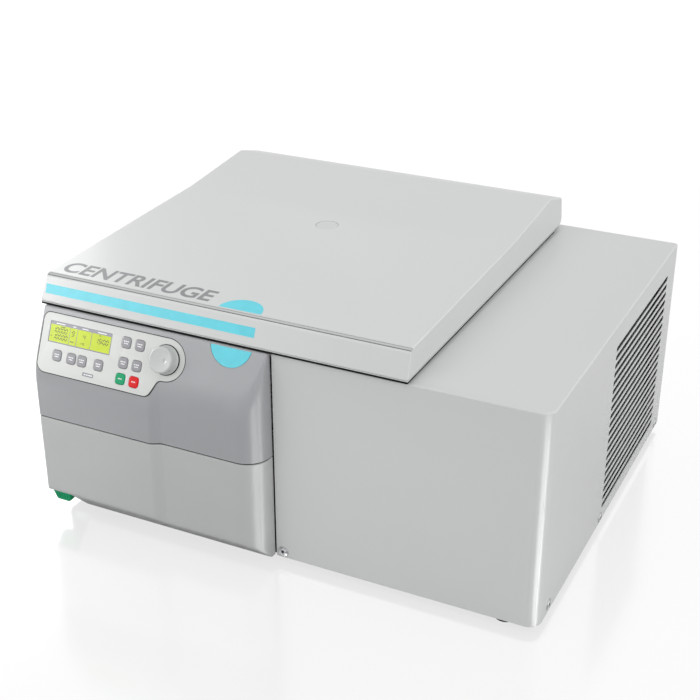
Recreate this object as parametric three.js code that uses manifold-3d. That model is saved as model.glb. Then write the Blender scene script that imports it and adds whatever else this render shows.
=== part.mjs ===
// Refrigerated bench-top laboratory centrifuge: a drive unit under a hinged lid on the left,
// a cooling unit with a louvred side on the right. Millimetres, +Z up, front towards -Y.
import * as THREE from 'three';
import { mergeVertices } from 'three/addons/utils/BufferGeometryUtils.js';
import Module from 'manifold-3d';

const wasm = await Module();
wasm.setup();

// ---- driving dimensions -------------------------------------------------------------------
// Machine frame: x from the left edge of the lid, y from the housing front, z from its underside.
const HOUSING = { left: 5.5, right: 730, depth: 602, height: 309, sheet: 2, corner: 18, bend: 4 };
const FOOT = { height: 12, radius: 15, x: [50, 679], y: [26, 570] };
const LID = { left: 0, right: 545.2, flare: 2.6, bottom: 314.4, skin: 3 };
const COVER = {
  left: 5.5, right: 353.8, front: -45, step: 7, ridge: [188, 206], corner: 35,
  edge: 4, split: 157, top: 309, wall: 3, back: -0.4, seam: 2,
};
const BEVEL = { from: 48, drop: 8, notch: 36.5 };
const TILT = { angle: THREE.MathUtils.degToRad(24.4), foot: 224 };
const KEYPAD = { left: 8, low: 3.8, high: 86.8, thick: 1.3, pocket: 1.6, gap: 0.8 };
const KEY = { size: 15, corner: 4, top: 0.8, bottom: -4.5, gap: 0.4 };
const KNOB = { x: 209.3, s: 58, base: 19.5, face: 17.2, height: 15.5, spindle: 3 };
const DISPLAY = { x: 70.6, s: 61.2, width: 101, height: 28.7 };
const ROTOR_AXIS = { x: 273, y: 322 };
const BOWL = { radius: 200, wall: 1.5, lip: 216, floor: 92, corner: 30, bore: 24 };
const ROTOR = { pivot: 95, z: 200, hub: 34, face: 48, head: 104, reach: 128, pin: 6 };
const BUCKET = { radius: 36, wall: 3, above: 18, below: 80, lug: 47 };
const HINGE = { y: 572, z: 334, rod: 5, eye: 11, x: [96, 450], bracket: 14, arm: 10 };
const LOUVRE = { count: 20, first: 24, pitch: 13, slot: 7.6, y: [277, 553] };
const FAN = { x: 655, y: 415, z: 146, radius: 92, blades: 7 };
const PORT = { x: 272.2, y: 322.6, radius: 16.5 };
const GAP = 0.3;
const ROUND = 24;

const X = new THREE.Vector3(1, 0, 0);
const Y = new THREE.Vector3(0, 1, 0);
const Z = new THREE.Vector3(0, 0, 1);

// ---- solids -------------------------------------------------------------------------------
// A closed mesh as a manifold solid, with its faces turned outwards.
function solid(geometry) {
  const bare = geometry.clone();
  bare.deleteAttribute('normal');
  bare.deleteAttribute('uv');
  const merged = mergeVertices(bare, 1e-4);
  const points = merged.attributes.position;
  const index = Uint32Array.from(merged.index.array);
  const a = new THREE.Vector3();
  const b = new THREE.Vector3();
  const c = new THREE.Vector3();
  let volume = 0;
  for (let i = 0; i < index.length; i += 3) {
    a.fromBufferAttribute(points, index[i]);
    b.fromBufferAttribute(points, index[i + 1]);
    c.fromBufferAttribute(points, index[i + 2]);
    volume += a.dot(b.cross(c));
  }
  if (volume < 0) {
    for (let i = 0; i < index.length; i += 3) {
      [index[i], index[i + 1]] = [index[i + 1], index[i]];
    }
  }
  const vertProperties = Float32Array.from(points.array);
  return new wasm.Manifold(new wasm.Mesh({ numProp: 3, vertProperties, triVerts: index }));
}

function join(first, ...others) {
  return others.reduce((whole, other) => whole.add(other), first);
}

function cut(first, ...cutters) {
  return cutters.reduce((whole, cutter) => whole.subtract(cutter), first);
}

function toGeometry(body) {
  const mesh = body.getMesh();
  const geometry = new THREE.BufferGeometry();
  geometry.setAttribute('position', new THREE.BufferAttribute(mesh.vertProperties, 3));
  geometry.setIndex(new THREE.BufferAttribute(mesh.triVerts, 1));
  geometry.computeVertexNormals();
  return geometry;
}

function box(x, y, z) {
  const geometry = new THREE.BoxGeometry(x[1] - x[0], y[1] - y[0], z[1] - z[0]);
  geometry.translate((x[0] + x[1]) / 2, (y[0] + y[1]) / 2, (z[0] + z[1]) / 2);
  return solid(geometry);
}

// A flat outline drawn in x and y, raised from z[0] to z[1].
function prismGeometry(shape, z, curveSegments = 3) {
  const depth = z[1] - z[0];
  const geometry = new THREE.ExtrudeGeometry(shape, { depth, bevelEnabled: false, curveSegments });
  return geometry.translate(0, 0, z[0]);
}

function prism(shape, z, curveSegments) {
  return solid(prismGeometry(shape, z, curveSegments));
}

// An outline of (y, z) points drawn across the machine from x[0] to x[1].
function crossGeometry(points, x) {
  const shape = new THREE.Shape(points.map(([y, z]) => new THREE.Vector2(y, z)));
  return prismGeometry(shape, x).applyMatrix4(new THREE.Matrix4().makeBasis(Y, Z, X));
}

function crossPrism(points, x) {
  return solid(crossGeometry(points, x));
}

// A closed profile of (radius, z) points turned about a vertical axis at the origin.
function turned(profile, segments = ROUND) {
  const points = profile.map(([r, z]) => new THREE.Vector2(r, z));
  const geometry = new THREE.LatheGeometry(points, segments);
  return solid(geometry.rotateX(Math.PI / 2));
}

function disc(radius, z, segments = ROUND) {
  return turned([[0, z[0]], [radius, z[0]], [radius, z[1]], [0, z[1]]], segments);
}

// A round bar from a start point along a unit axis.
function bar(start, axis, length, radius, segments = 20) {
  const geometry = new THREE.CylinderGeometry(radius, radius, length, segments);
  geometry.translate(0, length / 2, 0);
  geometry.applyQuaternion(new THREE.Quaternion().setFromUnitVectors(Y, axis));
  return solid(geometry.translate(start[0], start[1], start[2]));
}

function roundedRect(x, y, radii) {
  const [rightFront, rightBack, leftBack, leftFront] = radii;
  const shape = new THREE.Shape();
  const quarter = Math.PI / 2;
  shape.moveTo(x[0] + leftFront, y[0]);
  shape.absarc(x[1] - rightFront, y[0] + rightFront, rightFront, -quarter, 0);
  shape.absarc(x[1] - rightBack, y[1] - rightBack, rightBack, 0, quarter);
  shape.absarc(x[0] + leftBack, y[1] - leftBack, leftBack, quarter, 2 * quarter);
  shape.absarc(x[0] + leftFront, y[0] + leftFront, leftFront, 2 * quarter, 3 * quarter);
  return shape;
}

function roundedSquare(x, s, width, height, radius) {
  const across = [x - width / 2, x + width / 2];
  return roundedRect(across, [s - height / 2, s + height / 2], [radius, radius, radius, radius]);
}

// ---- materials ----------------------------------------------------------------------------
function finish(color, roughness, metalness = 0) {
  return new THREE.MeshStandardMaterial({ color, roughness, metalness });
}

const PALE_PAINT = finish('#c9cbca', 0.42);
const PALE_PLASTIC = finish('#b8bab9', 0.45);
const DARK_PLASTIC = finish('#a6a8ab', 0.45);
const KEYPAD_FILM = finish('#dee0dd', 0.4);
const KEY_GREY = finish('#96969b', 0.45);
const KEY_GREEN = finish('#1ea573', 0.4);
const KEY_RED = finish('#e13237', 0.4);
const DISPLAY_GREEN = finish('#d7eb55', 0.25);
const KNOB_GREY = finish('#d5d7d6', 0.4);
const RUBBER = finish('#1c1c1d', 0.8);
const STEEL = finish('#b9bcbe', 0.3, 1);
const DARK_STEEL = finish('#4a4d50', 0.5, 0.8);
const ALUMINIUM = finish('#a9acae', 0.4, 1);
const BLACK_PLASTIC = finish('#222325', 0.5);
const BOARD = finish('#1d5a37', 0.6);

const machine = new THREE.Group();

function place(name, body, material, parent = machine) {
  const mesh = new THREE.Mesh(toGeometry(body), material);
  mesh.name = name;
  parent.add(mesh);
  return mesh;
}

// ---- housing ------------------------------------------------------------------------------
const CHAMBER_OPENING = { x: [24, 522], y: [12, 542] };
const SCREWS = {
  screw_front: { at: [366, 0, 9.5], axis: [0, -1, 0] },
  screw_right_front: { at: [730, 41.5, 13], axis: [1, 0, 0] },
  screw_right_middle: { at: [730, 271, 9.5], axis: [1, 0, 0] },
  screw_right_rear: { at: [730, 576, 9.5], axis: [1, 0, 0] },
};
const SCREW = { washer: 8, thick: 1.2, head: 4.6, rise: 2, shank: 2.4, length: 5, socket: 2.6 };

function housingOutline(inset) {
  const { left, right, depth, corner, bend } = HOUSING;
  const tight = bend - inset;
  const radii = [corner - inset, tight, tight, tight];
  return roundedRect([left + inset, right - inset], [inset, depth - inset], radii);
}

function screwHoles() {
  return Object.values(SCREWS).map(({ at, axis }) => {
    const inward = new THREE.Vector3(...axis).negate();
    const start = at.map((value, i) => value + axis[i] * 2);
    return bar(start, inward, SCREW.length + 8, SCREW.shank + 0.5, 16);
  });
}

function louvreSlots() {
  const slots = [];
  for (let i = 0; i < LOUVRE.count; i += 1) {
    const z = LOUVRE.first + i * LOUVRE.pitch;
    const height = [z - LOUVRE.slot / 2, z + LOUVRE.slot / 2];
    slots.push(box([HOUSING.right - 5, HOUSING.right + 5], LOUVRE.y, height));
  }
  return slots;
}

function housingShell() {
  const { right, depth, height, sheet } = HOUSING;
  const skin = cut(
    prism(housingOutline(0), [0, height]),
    prism(housingOutline(sheet), [-1, height - sheet]),
    box([8, COVER.right + COVER.seam], [-1, sheet + 1], [-1, height - sheet]),
    box(CHAMBER_OPENING.x, CHAMBER_OPENING.y, [height - 5, height + 5]),
    box([20, right - 14], [depth - 5, depth + 5], [12, height - 12]),
    ...louvreSlots(),
  );
  return cut(skin, ...screwHoles());
}

place('housing_shell', housingShell(), PALE_PAINT);

function screw({ at, axis }) {
  const { washer, thick, head, rise, shank, length, socket } = SCREW;
  const body = turned([
    [0, -length], [shank, -length], [shank, GAP], [washer, GAP], [washer - 0.6, thick],
    [head + 1, thick - 0.5], [head, thick - 0.5], [head, rise], [0, rise],
  ], 16);
  const recess = bar([0, 0, rise - 1.2], Z, 3, socket, 6);
  const mesh = new THREE.Mesh(toGeometry(cut(body, recess)), STEEL);
  mesh.quaternion.setFromUnitVectors(Z, new THREE.Vector3(...axis));
  mesh.position.set(...at);
  return mesh;
}

for (const [name, spot] of Object.entries(SCREWS)) {
  const mesh = screw(spot);
  mesh.name = name;
  machine.add(mesh);
}

function basePan() {
  const rim = 16;
  const x = [HOUSING.left + 2.5, HOUSING.right - 6];
  const y = [2.5, HOUSING.depth - 5];
  const bend = HOUSING.corner;
  const tray = cut(
    prism(roundedRect(x, y, [bend, 2, 2, 2]), [2, rim]),
    prism(roundedRect([x[0] + 2, x[1] - 2], [y[0] + 2, y[1] - 2], [bend - 2, 1, 1, 1]), [4, rim + 5]),
  );
  const studs = [];
  for (const fx of FOOT.x) {
    for (const fy of FOOT.y) studs.push(disc(4.4, [0, 6], 16).translate([fx, fy, 0]));
  }
  return cut(tray, ...studs, ...screwHoles());
}

place('base_pan', basePan(), DARK_STEEL);

function foot() {
  const { radius, height } = FOOT;
  return turned([
    [0, -height], [radius - 1.5, -height], [radius, -height + 1.5], [radius - 1, 1.7],
    [4, 1.7], [4, 5], [0, 5],
  ], 16);
}

const FOOT_NAMES = [['foot_front_left', 'foot_rear_left'], ['foot_front_right', 'foot_rear_right']];
FOOT_NAMES.forEach((pair, i) => {
  pair.forEach((name, j) => {
    place(name, foot(), RUBBER).position.set(FOOT.x[i], FOOT.y[j], 0);
  });
});

// ---- rear panel, mains inlet and switch ---------------------------------------------------
const REAR = { y: [597.5, 599.5], x: [12, 722], z: [17, 303] };
const INLET = { x: 620, z: 60, width: 62, height: 32, socket: [24, 18], rocker: [13, 22] };
const SOCKET_X = INLET.x - 12;
const ROCKER_X = INLET.x + 19;

function ventSlots(x, z, count, width) {
  const slots = [];
  for (let i = 0; i < count; i += 1) {
    slots.push(box([x, x + width], [590, 610], [z + i * 14, z + i * 14 + 7]));
  }
  return slots;
}

function rearPanel() {
  const { width, height } = INLET;
  const opening = box(
    [INLET.x - width / 2 + 3, INLET.x + width / 2 - 3], [590, 610],
    [INLET.z - height / 2 + 3, INLET.z + height / 2 - 3],
  );
  return cut(
    box(REAR.x, REAR.y, REAR.z), opening,
    ...ventSlots(90, 50, 9, 110), ...ventSlots(560, 130, 9, 120),
  );
}

place('rear_panel', rearPanel(), PALE_PAINT);

function powerInlet() {
  const { x, z, width, height, socket, rocker } = INLET;
  const back = REAR.y[1] + GAP;
  const flange = box([x - width / 2, x + width / 2], [back, back + 2], [z - height / 2, z + height / 2]);
  const block = box(
    [x - width / 2 + 4, x + width / 2 - 4], [back - 26, back + 1],
    [z - height / 2 + 4, z + height / 2 - 4],
  );
  const mouth = box(
    [SOCKET_X - socket[0] / 2, SOCKET_X + socket[0] / 2], [back - 16, back + 5],
    [z - socket[1] / 2, z + socket[1] / 2],
  );
  const well = box(
    [ROCKER_X - rocker[0] / 2, ROCKER_X + rocker[0] / 2], [back - 14, back + 5],
    [z - rocker[1] / 2, z + rocker[1] / 2],
  );
  const blades = [[-7, -2], [0, 3], [7, -2]].map(([dx, dz]) => (
    box([SOCKET_X + dx - 1, SOCKET_X + dx + 1], [back - 17, back - 7], [z + dz - 2, z + dz + 2])
  ));
  return join(cut(join(flange, block), mouth, well), ...blades);
}

place('power_inlet', powerInlet(), BLACK_PLASTIC);

// The rocker pivots about a line across the switch, 7 mm inside the panel.
const ROCKER_Y = REAR.y[1] - 6;

function mainsRocker() {
  const half = INLET.rocker[1] / 2 - 1.2;
  const outline = [
    [ROCKER_Y - 5, INLET.z - 4], [ROCKER_Y + 6.2, INLET.z - half], [ROCKER_Y + 6, INLET.z],
    [ROCKER_Y + 8.3, INLET.z + half - 1.5], [ROCKER_Y + 4, INLET.z + half - 0.5],
    [ROCKER_Y - 5, INLET.z + 4],
  ];
  const width = INLET.rocker[0] / 2 - 0.6;
  return crossPrism(outline, [ROCKER_X - width, ROCKER_X + width]);
}

place('mains_switch', mainsRocker(), KEY_RED);

// ---- front covers -------------------------------------------------------------------------
function coverOutline(inset, back) {
  const { left, right, front, step, ridge, corner, edge } = COVER;
  const x0 = left + inset;
  const y0 = front + inset;
  const y1 = front + step + inset;
  const round = Math.max(edge - inset, 1);
  const middle = (ridge[0] + ridge[1]) / 2;
  const shape = new THREE.Shape();
  shape.moveTo(x0, back);
  shape.lineTo(x0, y0 + round);
  shape.absarc(x0 + round, y0 + round, round, Math.PI, 1.5 * Math.PI);
  shape.lineTo(ridge[0], y0);
  shape.bezierCurveTo(middle, y0, middle, y1, ridge[1], y1);
  shape.absarc(right - corner, y1 + corner - inset, corner - inset, 1.5 * Math.PI, 2 * Math.PI);
  shape.lineTo(right - inset, back);
  return shape;
}

// The tilted face's own frame: x across, s up the slope from its foot, n out of the face.
const SLOPE = new THREE.Vector3(0, Math.sin(TILT.angle), Math.cos(TILT.angle));
const OUTWARD = new THREE.Vector3(0, -Math.cos(TILT.angle), Math.sin(TILT.angle));
const onTilt = new THREE.Matrix4().makeBasis(X, SLOPE, OUTWARD)
  .setPosition(0, COVER.front, TILT.foot);

function tilted(shape, depth, curveSegments) {
  return solid(prismGeometry(shape, depth, curveSegments).applyMatrix4(onTilt));
}

function aboveTilt(depth) {
  return tilted(roundedSquare(200, 0, 600, 600, 1), [-depth, 200], 1);
}

function keypadOutline(margin) {
  const left = KEYPAD.left - margin;
  const low = KEYPAD.low - margin;
  const high = KEYPAD.high + margin;
  const shape = new THREE.Shape();
  const radius = high - KNOB.s;
  const upper = 10 + margin;
  const lower = 14 + margin;
  shape.moveTo(left + lower, low);
  shape.lineTo(KNOB.x - 27, low);
  shape.quadraticCurveTo(KNOB.x - 20 + margin, low, KNOB.x - 16 + margin, low + 7);
  shape.lineTo(KNOB.x - 9 + margin, KNOB.s - radius - 4.5);
  shape.quadraticCurveTo(KNOB.x - 6 + margin, KNOB.s - radius, KNOB.x, KNOB.s - radius);
  shape.absarc(KNOB.x, KNOB.s, radius, -Math.PI / 2, Math.PI / 2);
  shape.absarc(left + upper, high - upper, upper, Math.PI / 2, Math.PI);
  shape.absarc(left + lower, low + lower, lower, Math.PI, 1.5 * Math.PI);
  return shape;
}

// Key centres on the tilted face: x across, s up the slope.
const KEYS = [
  ['key_temperature', 39, 30, KEY_GREY],
  ['key_brake', 62.5, 30, KEY_GREY],
  ['key_speed', 80, 30, KEY_GREY],
  ['key_time', 107, 30, KEY_GREY],
  ['key_program', 145, 68.6, KEY_GREY],
  ['key_radius', 166.4, 68.6, KEY_GREY],
  ['key_store', 145, 41, KEY_GREY],
  ['key_pulse', 166.4, 41, KEY_GREY],
  ['key_start', 144.6, 19.2, KEY_GREEN],
  ['key_stop', 166, 19.2, KEY_RED],
];

function keyHoles(depth) {
  const side = KEY.size + 2 * KEY.gap;
  return KEYS.map(([, x, s]) => tilted(roundedSquare(x, s, side, side, KEY.corner), depth, 1));
}

function knobHole(radius) {
  const shape = new THREE.Shape().absarc(KNOB.x, KNOB.s, radius, 0, 2 * Math.PI);
  return tilted(shape, [-10, 10], 6);
}

function coverBody(inset, z) {
  return cut(prism(coverOutline(inset, inset ? 5 : COVER.back), z, 5), aboveTilt(inset));
}

function frontCoverUpper() {
  const { split, top, wall } = COVER;
  const shell = cut(
    coverBody(0, [split + 0.6, top]),
    coverBody(wall, [split - 5, top - wall]),
    tilted(keypadOutline(KEYPAD.gap), [-KEYPAD.pocket, 5], 2),
  );
  return cut(shell, ...keyHoles([-10, 2]), knobHole(KNOB.spindle + 1));
}

place('front_cover_upper', frontCoverUpper(), DARK_PLASTIC);

// Everything below the sloping lower edge, and below the notch at the left end.
function belowCover(rise) {
  const deep = -80;
  const out = 60;
  const slope = [[-out, out - BEVEL.drop + rise], [-out, deep], [20, deep], [20, rise - 20 - BEVEL.drop]];
  const notch = [[-out, BEVEL.notch + rise], [-out, deep], [20, deep], [20, BEVEL.notch + rise]];
  return join(crossPrism(slope, [-20, 400]), crossPrism(notch, [-20, BEVEL.from + rise]));
}

const PULL = { x: 25, y: -29, bottom: 16.5, top: 36, stem: 3 };

function frontCoverLower() {
  const { split, wall } = COVER;
  const whole = cut(prism(coverOutline(0, COVER.back), [2, split - 0.6], 5), belowCover(0));
  const hollow = cut(prism(coverOutline(wall, 5), [-5, split + 5], 5), belowCover(wall * 1.4));
  return cut(whole, hollow, bar([PULL.x, PULL.y, 30], Z, 12, PULL.stem + 0.6, 16));
}

place('front_cover_lower', frontCoverLower(), PALE_PLASTIC);

// A tapered grip under the notch; its stem leads up to the lid lock's release cord.
function releasePull() {
  const grip = new THREE.BoxGeometry(34, 19, PULL.top - PULL.bottom);
  const points = grip.attributes.position;
  for (let i = 0; i < points.count; i += 1) {
    if (points.getZ(i) < 0) points.setXYZ(i, points.getX(i) * 0.64, points.getY(i) * 0.7, points.getZ(i));
  }
  grip.translate(PULL.x, PULL.y, (PULL.top + PULL.bottom) / 2);
  return join(solid(grip), bar([PULL.x, PULL.y, PULL.top - 2], Z, 22, PULL.stem, 16));
}

place('release_pull', releasePull(), KEY_GREEN);

// ---- control panel ------------------------------------------------------------------------
const panel = new THREE.Group();
onTilt.decompose(panel.position, panel.quaternion, panel.scale);
machine.add(panel);

function keypadPanel() {
  const { x, s, width, height } = DISPLAY;
  const side = KEY.size + 2 * KEY.gap;
  const shape = keypadOutline(0);
  shape.holes.push(roundedSquare(x, s, width + 0.8, height + 0.8, 1));
  for (const [, kx, ks] of KEYS) shape.holes.push(roundedSquare(kx, ks, side, side, KEY.corner));
  const spindleHole = disc(KNOB.spindle + 1, [-5, 5], 16).translate([KNOB.x, KNOB.s, 0]);
  return cut(prism(shape, [-KEYPAD.thick, 0], 2), spindleHole);
}

place('keypad_panel', keypadPanel(), KEYPAD_FILM, panel);

const displayShape = roundedSquare(DISPLAY.x, DISPLAY.s, DISPLAY.width, DISPLAY.height, 1);
place('display_window', prism(displayShape, [-KEYPAD.thick, -0.05], 2), DISPLAY_GREEN, panel);

for (const [name, x, s, material] of KEYS) {
  const shape = roundedSquare(0, 0, KEY.size, KEY.size, KEY.corner);
  place(name, prism(shape, [KEY.bottom, KEY.top], 2), material, panel).position.set(x, s, 0);
}

function controlKnob() {
  const { base, face, height, spindle } = KNOB;
  const body = turned([
    [0, -3.2], [spindle, -3.2], [spindle, 0.6], [base, 0.6], [base, 2.2], [base - 0.8, 3],
    [face + 0.3, height - 1.2], [face - 0.8, height], [0, height],
  ], 28);
  const dimple = solid(new THREE.SphereGeometry(6, 12, 8).translate(6.5, 0, height + 4.6));
  return cut(body, dimple);
}

place('control_knob', controlKnob(), KNOB_GREY, panel).position.set(KNOB.x, KNOB.s, 0);

const BOARD_TOP = -6.5;
const boardShape = new THREE.Shape([
  [20, 10], [180, 10], [180, 32], [232, 32], [232, 80], [20, 80],
].map(([x, s]) => new THREE.Vector2(x, s)));
const encoder = disc(7, [BOARD_TOP - 0.5, -3.6], 20).translate([KNOB.x, KNOB.s, 0]);
place(
  'control_board', join(prism(boardShape, [BOARD_TOP - 1.6, BOARD_TOP]), encoder), BOARD, panel,
);

// ---- chamber ------------------------------------------------------------------------------
const rotorGroup = new THREE.Group();
rotorGroup.position.set(ROTOR_AXIS.x, ROTOR_AXIS.y, 0);
machine.add(rotorGroup);

const DECK_TOP = HOUSING.height - HOUSING.sheet - GAP;
const LATCH = { x: ROTOR_AXIS.x, y: 28, slotWidth: 40, slotY: [18, 58] };

function chamberDeck() {
  const edge = 8;
  const x = [CHAMBER_OPENING.x[0] - edge, CHAMBER_OPENING.x[1] + edge];
  const y = [CHAMBER_OPENING.y[0] - edge, CHAMBER_OPENING.y[1] + edge];
  return cut(
    box(x, y, [DECK_TOP - 4.5, DECK_TOP]),
    disc(BOWL.radius + 3, [280, 320], 36).translate([ROTOR_AXIS.x, ROTOR_AXIS.y, 0]),
    box([LATCH.x - LATCH.slotWidth / 2, LATCH.x + LATCH.slotWidth / 2], LATCH.slotY, [290, 320]),
  );
}

place('chamber_deck', chamberDeck(), PALE_PLASTIC);

function chamberBowl() {
  const { radius, wall, lip, floor, corner, bore } = BOWL;
  const lipLow = DECK_TOP + GAP;
  const profile = [[lip, lipLow], [lip, lipLow + wall], [radius, lipLow + wall]];
  const steps = 3;
  for (let i = 0; i <= steps; i += 1) {
    const turn = (i / steps) * Math.PI / 2;
    profile.push([
      radius - corner + corner * Math.cos(turn), floor + corner + 3 - corner * Math.sin(turn),
    ]);
  }
  profile.push([bore, floor], [bore, floor - wall]);
  for (let i = steps; i >= 0; i -= 1) {
    const turn = (i / steps) * Math.PI / 2;
    const outer = corner + wall;
    profile.push([
      radius - corner + outer * Math.cos(turn), floor + corner + 3 - outer * Math.sin(turn),
    ]);
  }
  profile.push([radius + wall, lipLow], [lip, lipLow]);
  return turned(profile, 36);
}

place('chamber_bowl', chamberBowl(), STEEL, rotorGroup);

const SEAL = { inner: 204, outer: 214, low: DECK_TOP + GAP + BOWL.wall + GAP, high: 313.4 };
const sealProfile = [
  [SEAL.inner, SEAL.low], [SEAL.outer, SEAL.low], [SEAL.outer, SEAL.high - 1.5],
  [SEAL.outer - 3, SEAL.high], [SEAL.inner + 3, SEAL.high], [SEAL.inner, SEAL.high - 1.5],
  [SEAL.inner, SEAL.low],
];
place('chamber_seal', turned(sealProfile, 36), RUBBER, rotorGroup);

// ---- drive --------------------------------------------------------------------------------
const DAMPER = { radius: 13, circle: 78, low: 4 + GAP, high: 34 };
const PLATE = { low: DAMPER.high + GAP, high: DAMPER.high + 5, radius: 95, hole: 57 };

for (let i = 0; i < 3; i += 1) {
  const angle = (i / 3) * 2 * Math.PI + Math.PI / 2;
  const rubber = turned([
    [0, DAMPER.low], [DAMPER.radius, DAMPER.low], [DAMPER.radius - 3, 19],
    [DAMPER.radius, DAMPER.high], [0, DAMPER.high],
  ], 20);
  const mesh = place(`motor_damper_${i + 1}`, rubber, RUBBER, rotorGroup);
  mesh.position.set(DAMPER.circle * Math.cos(angle), DAMPER.circle * Math.sin(angle), 0);
}

const plateHole = disc(PLATE.hole, [0, 60], 24);
const motorPlate = cut(disc(PLATE.radius, [PLATE.low, PLATE.high], 24), plateHole);
place('motor_plate', motorPlate, DARK_STEEL, rotorGroup);

place('drive_motor', turned([
  [0, 9], [48, 9], [56, 14], [56, PLATE.high + GAP], [68, PLATE.high + GAP],
  [68, PLATE.high + 6], [56, PLATE.high + 6], [56, 78], [48, 84], [20, 84], [20, 88], [0, 88],
], 24), DARK_STEEL, rotorGroup);

const SHAFT_TOP = ROTOR.z + 24;
place('drive_shaft', turned([
  [0, 88.3], [9, 88.3], [9, 178], [14, 179.5], [14, 182], [9, 184], [7, SHAFT_TOP], [0, SHAFT_TOP],
], 16), STEEL, rotorGroup);

function rotorCross() {
  const { z, hub, face, head, reach, pin, pivot } = ROTOR;
  let cross = disc(hub, [z - 18, z + 18], 24);
  for (let i = 0; i < 4; i += 1) {
    const corner = join(
      box([face, head], [face, head], [z - 14, z + 14]),
      box([20, 100], [-17, 17], [z - 12, z + 12]).rotate([0, 0, 45]),
      bar([pivot, face + 1, z], new THREE.Vector3(0, -1, 0), 10, pin, 12),
      bar([face + 1, pivot, z], new THREE.Vector3(-1, 0, 0), 10, pin, 12),
    );
    cross = join(cross, corner.rotate([0, 0, i * 90]));
  }
  const trimmed = cross.intersect(disc(reach, [z - 30, z + 30], 32));
  const bore = turned([
    [0, z - 30], [15, z - 30], [15, z - 16], [9.6, z - 15.5], [7.4, z + 30], [0, z + 30],
  ], 16);
  return cut(trimmed, bore);
}

place('rotor_cross', rotorCross(), ALUMINIUM, rotorGroup);

const nutLow = ROTOR.z + 18 + GAP;
const nut = turned([
  [0, nutLow], [17, nutLow], [17, nutLow + 6], [12, nutLow + 8], [12, nutLow + 20],
  [9, nutLow + 22], [0, nutLow + 22],
], 16);
const nutBore = disc(7.6, [nutLow - 5, SHAFT_TOP + 1], 16);
place('rotor_nut', cut(nut, nutBore), STEEL, rotorGroup);

function bucket() {
  const { radius, wall, above, below, lug } = BUCKET;
  const cup = turned([
    [0, -below], [radius - 6, -below], [radius, -below + 6], [radius, above],
    [radius - wall, above], [radius - wall, -below + 8], [radius - wall - 4, -below + wall],
    [0, -below + wall],
  ], 20);
  const ears = [-1, 1].map((side) => {
    const y = side > 0 ? [30, lug] : [-lug, -30];
    return box([-11, 11], y, [-12, 13]);
  });
  const inside = disc(radius - wall, [-below + 8, above + 5], 20);
  const pins = [-1, 1].map((side) => (
    bar([0, side * (ROTOR.face - 10), 0], new THREE.Vector3(0, side, 0), 14, ROTOR.pin + 0.5, 12)
  ));
  return cut(join(cup, ...ears.map((ear) => cut(ear, inside))), ...pins);
}

for (let i = 0; i < 4; i += 1) {
  const turn = new THREE.Group();
  turn.rotation.z = (i * Math.PI) / 2;
  rotorGroup.add(turn);
  place(`bucket_${i + 1}`, bucket(), ALUMINIUM, turn).position.set(ROTOR.pivot, 0, ROTOR.z);
}

// ---- lid ----------------------------------------------------------------------------------
// The top rises gently from behind the front edge to the middle, then steeper to a rear ridge.
const TOP = { front: [16, 351], middle: [379, 359], ridge: [538, 372.4] };

// Side profile of the lid as (y, z) points from the lower front edge round to the lower rear.
function lidProfile(inset) {
  const bottom = inset ? LID.bottom - 5 : LID.bottom;
  const frontLow = inset ? -7.5 : -5.4;
  return [
    [frontLow + inset * 1.1, bottom],
    [9 + inset * 1.1, 347.6 - inset * 0.4],
    [TOP.front[0] + inset * 0.4, TOP.front[1] - inset],
    [TOP.middle[0], TOP.middle[1] - inset],
    [TOP.ridge[0], TOP.ridge[1] - inset],
    [594 - inset, 355.8 - inset * 0.8],
    [594 - inset, 322.5],
    [587.5 - inset, bottom],
  ];
}

// The profile drawn across the machine, with both sides leaning in towards the top.
function lidBody(inset) {
  const rise = 36;
  const geometry = crossGeometry(lidProfile(inset), [0, 1]);
  const points = geometry.attributes.position;
  for (let i = 0; i < points.count; i += 1) {
    const height = THREE.MathUtils.clamp((points.getZ(i) - LID.bottom) / rise, 0, 1);
    const lean = LID.flare * (1 - height) - inset;
    points.setX(i, points.getX(i) < 0.5 ? LID.left - lean : LID.right + lean);
  }
  return solid(geometry);
}

// Reliefs in the lid's rear wall, which swings down past the hinge brackets as the lid opens.
function hingeNotches() {
  const half = HINGE.bracket / 2 + 11;
  return HINGE.x.map((x) => box([x - half, x + half], [576, 600], [LID.bottom - 5, HINGE.z + 8]));
}

const portHole = disc(PORT.radius + GAP, [330, 380], 24).translate([PORT.x, PORT.y, 0]);
const lidWalls = cut(lidBody(0), lidBody(LID.skin), portHole, ...hingeNotches());
place('lid_shell', lidWalls, PALE_PAINT);

const LINER = { x: [2, 543.2], y: [2, 530], z: [LID.bottom + 0.4, LID.bottom + 3.4] };

function lidLiner() {
  const plate = box(LINER.x, LINER.y, LINER.z);
  const plug = turned([
    [0, 305], [188, 305], [192, 309], [192, LINER.z[0] + 1], [0, LINER.z[0] + 1],
  ], 40).translate([ROTOR_AXIS.x, ROTOR_AXIS.y, 0]);
  const port = disc(10, [290, 330], 16).translate([PORT.x, PORT.y, 0]);
  return cut(join(plate, plug), port);
}

place('lid_liner', lidLiner(), BLACK_PLASTIC);

// The port cap sits flush in the lid's gently rising top.
const portSlope = Math.atan2(TOP.middle[1] - TOP.front[1], TOP.middle[0] - TOP.front[0]);
const portTop = TOP.front[1] + (PORT.y - TOP.front[0]) * Math.tan(portSlope);
const portCap = place('lid_port_cap', disc(PORT.radius, [-6, 0.4], 24), PALE_PLASTIC);
portCap.position.set(PORT.x, PORT.y, portTop);
portCap.rotation.x = portSlope;

// A U-shaped loop hangs from the liner; the lock's hook catches its lower bar.
function strikerLoop() {
  const { x, y } = LATCH;
  return cut(
    box([x - 14, x + 14], [y - 3, y + 3], [286, LINER.z[0] - GAP]),
    box([x - 9, x + 9], [y - 5, y + 5], [291, 306]),
  );
}

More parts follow.
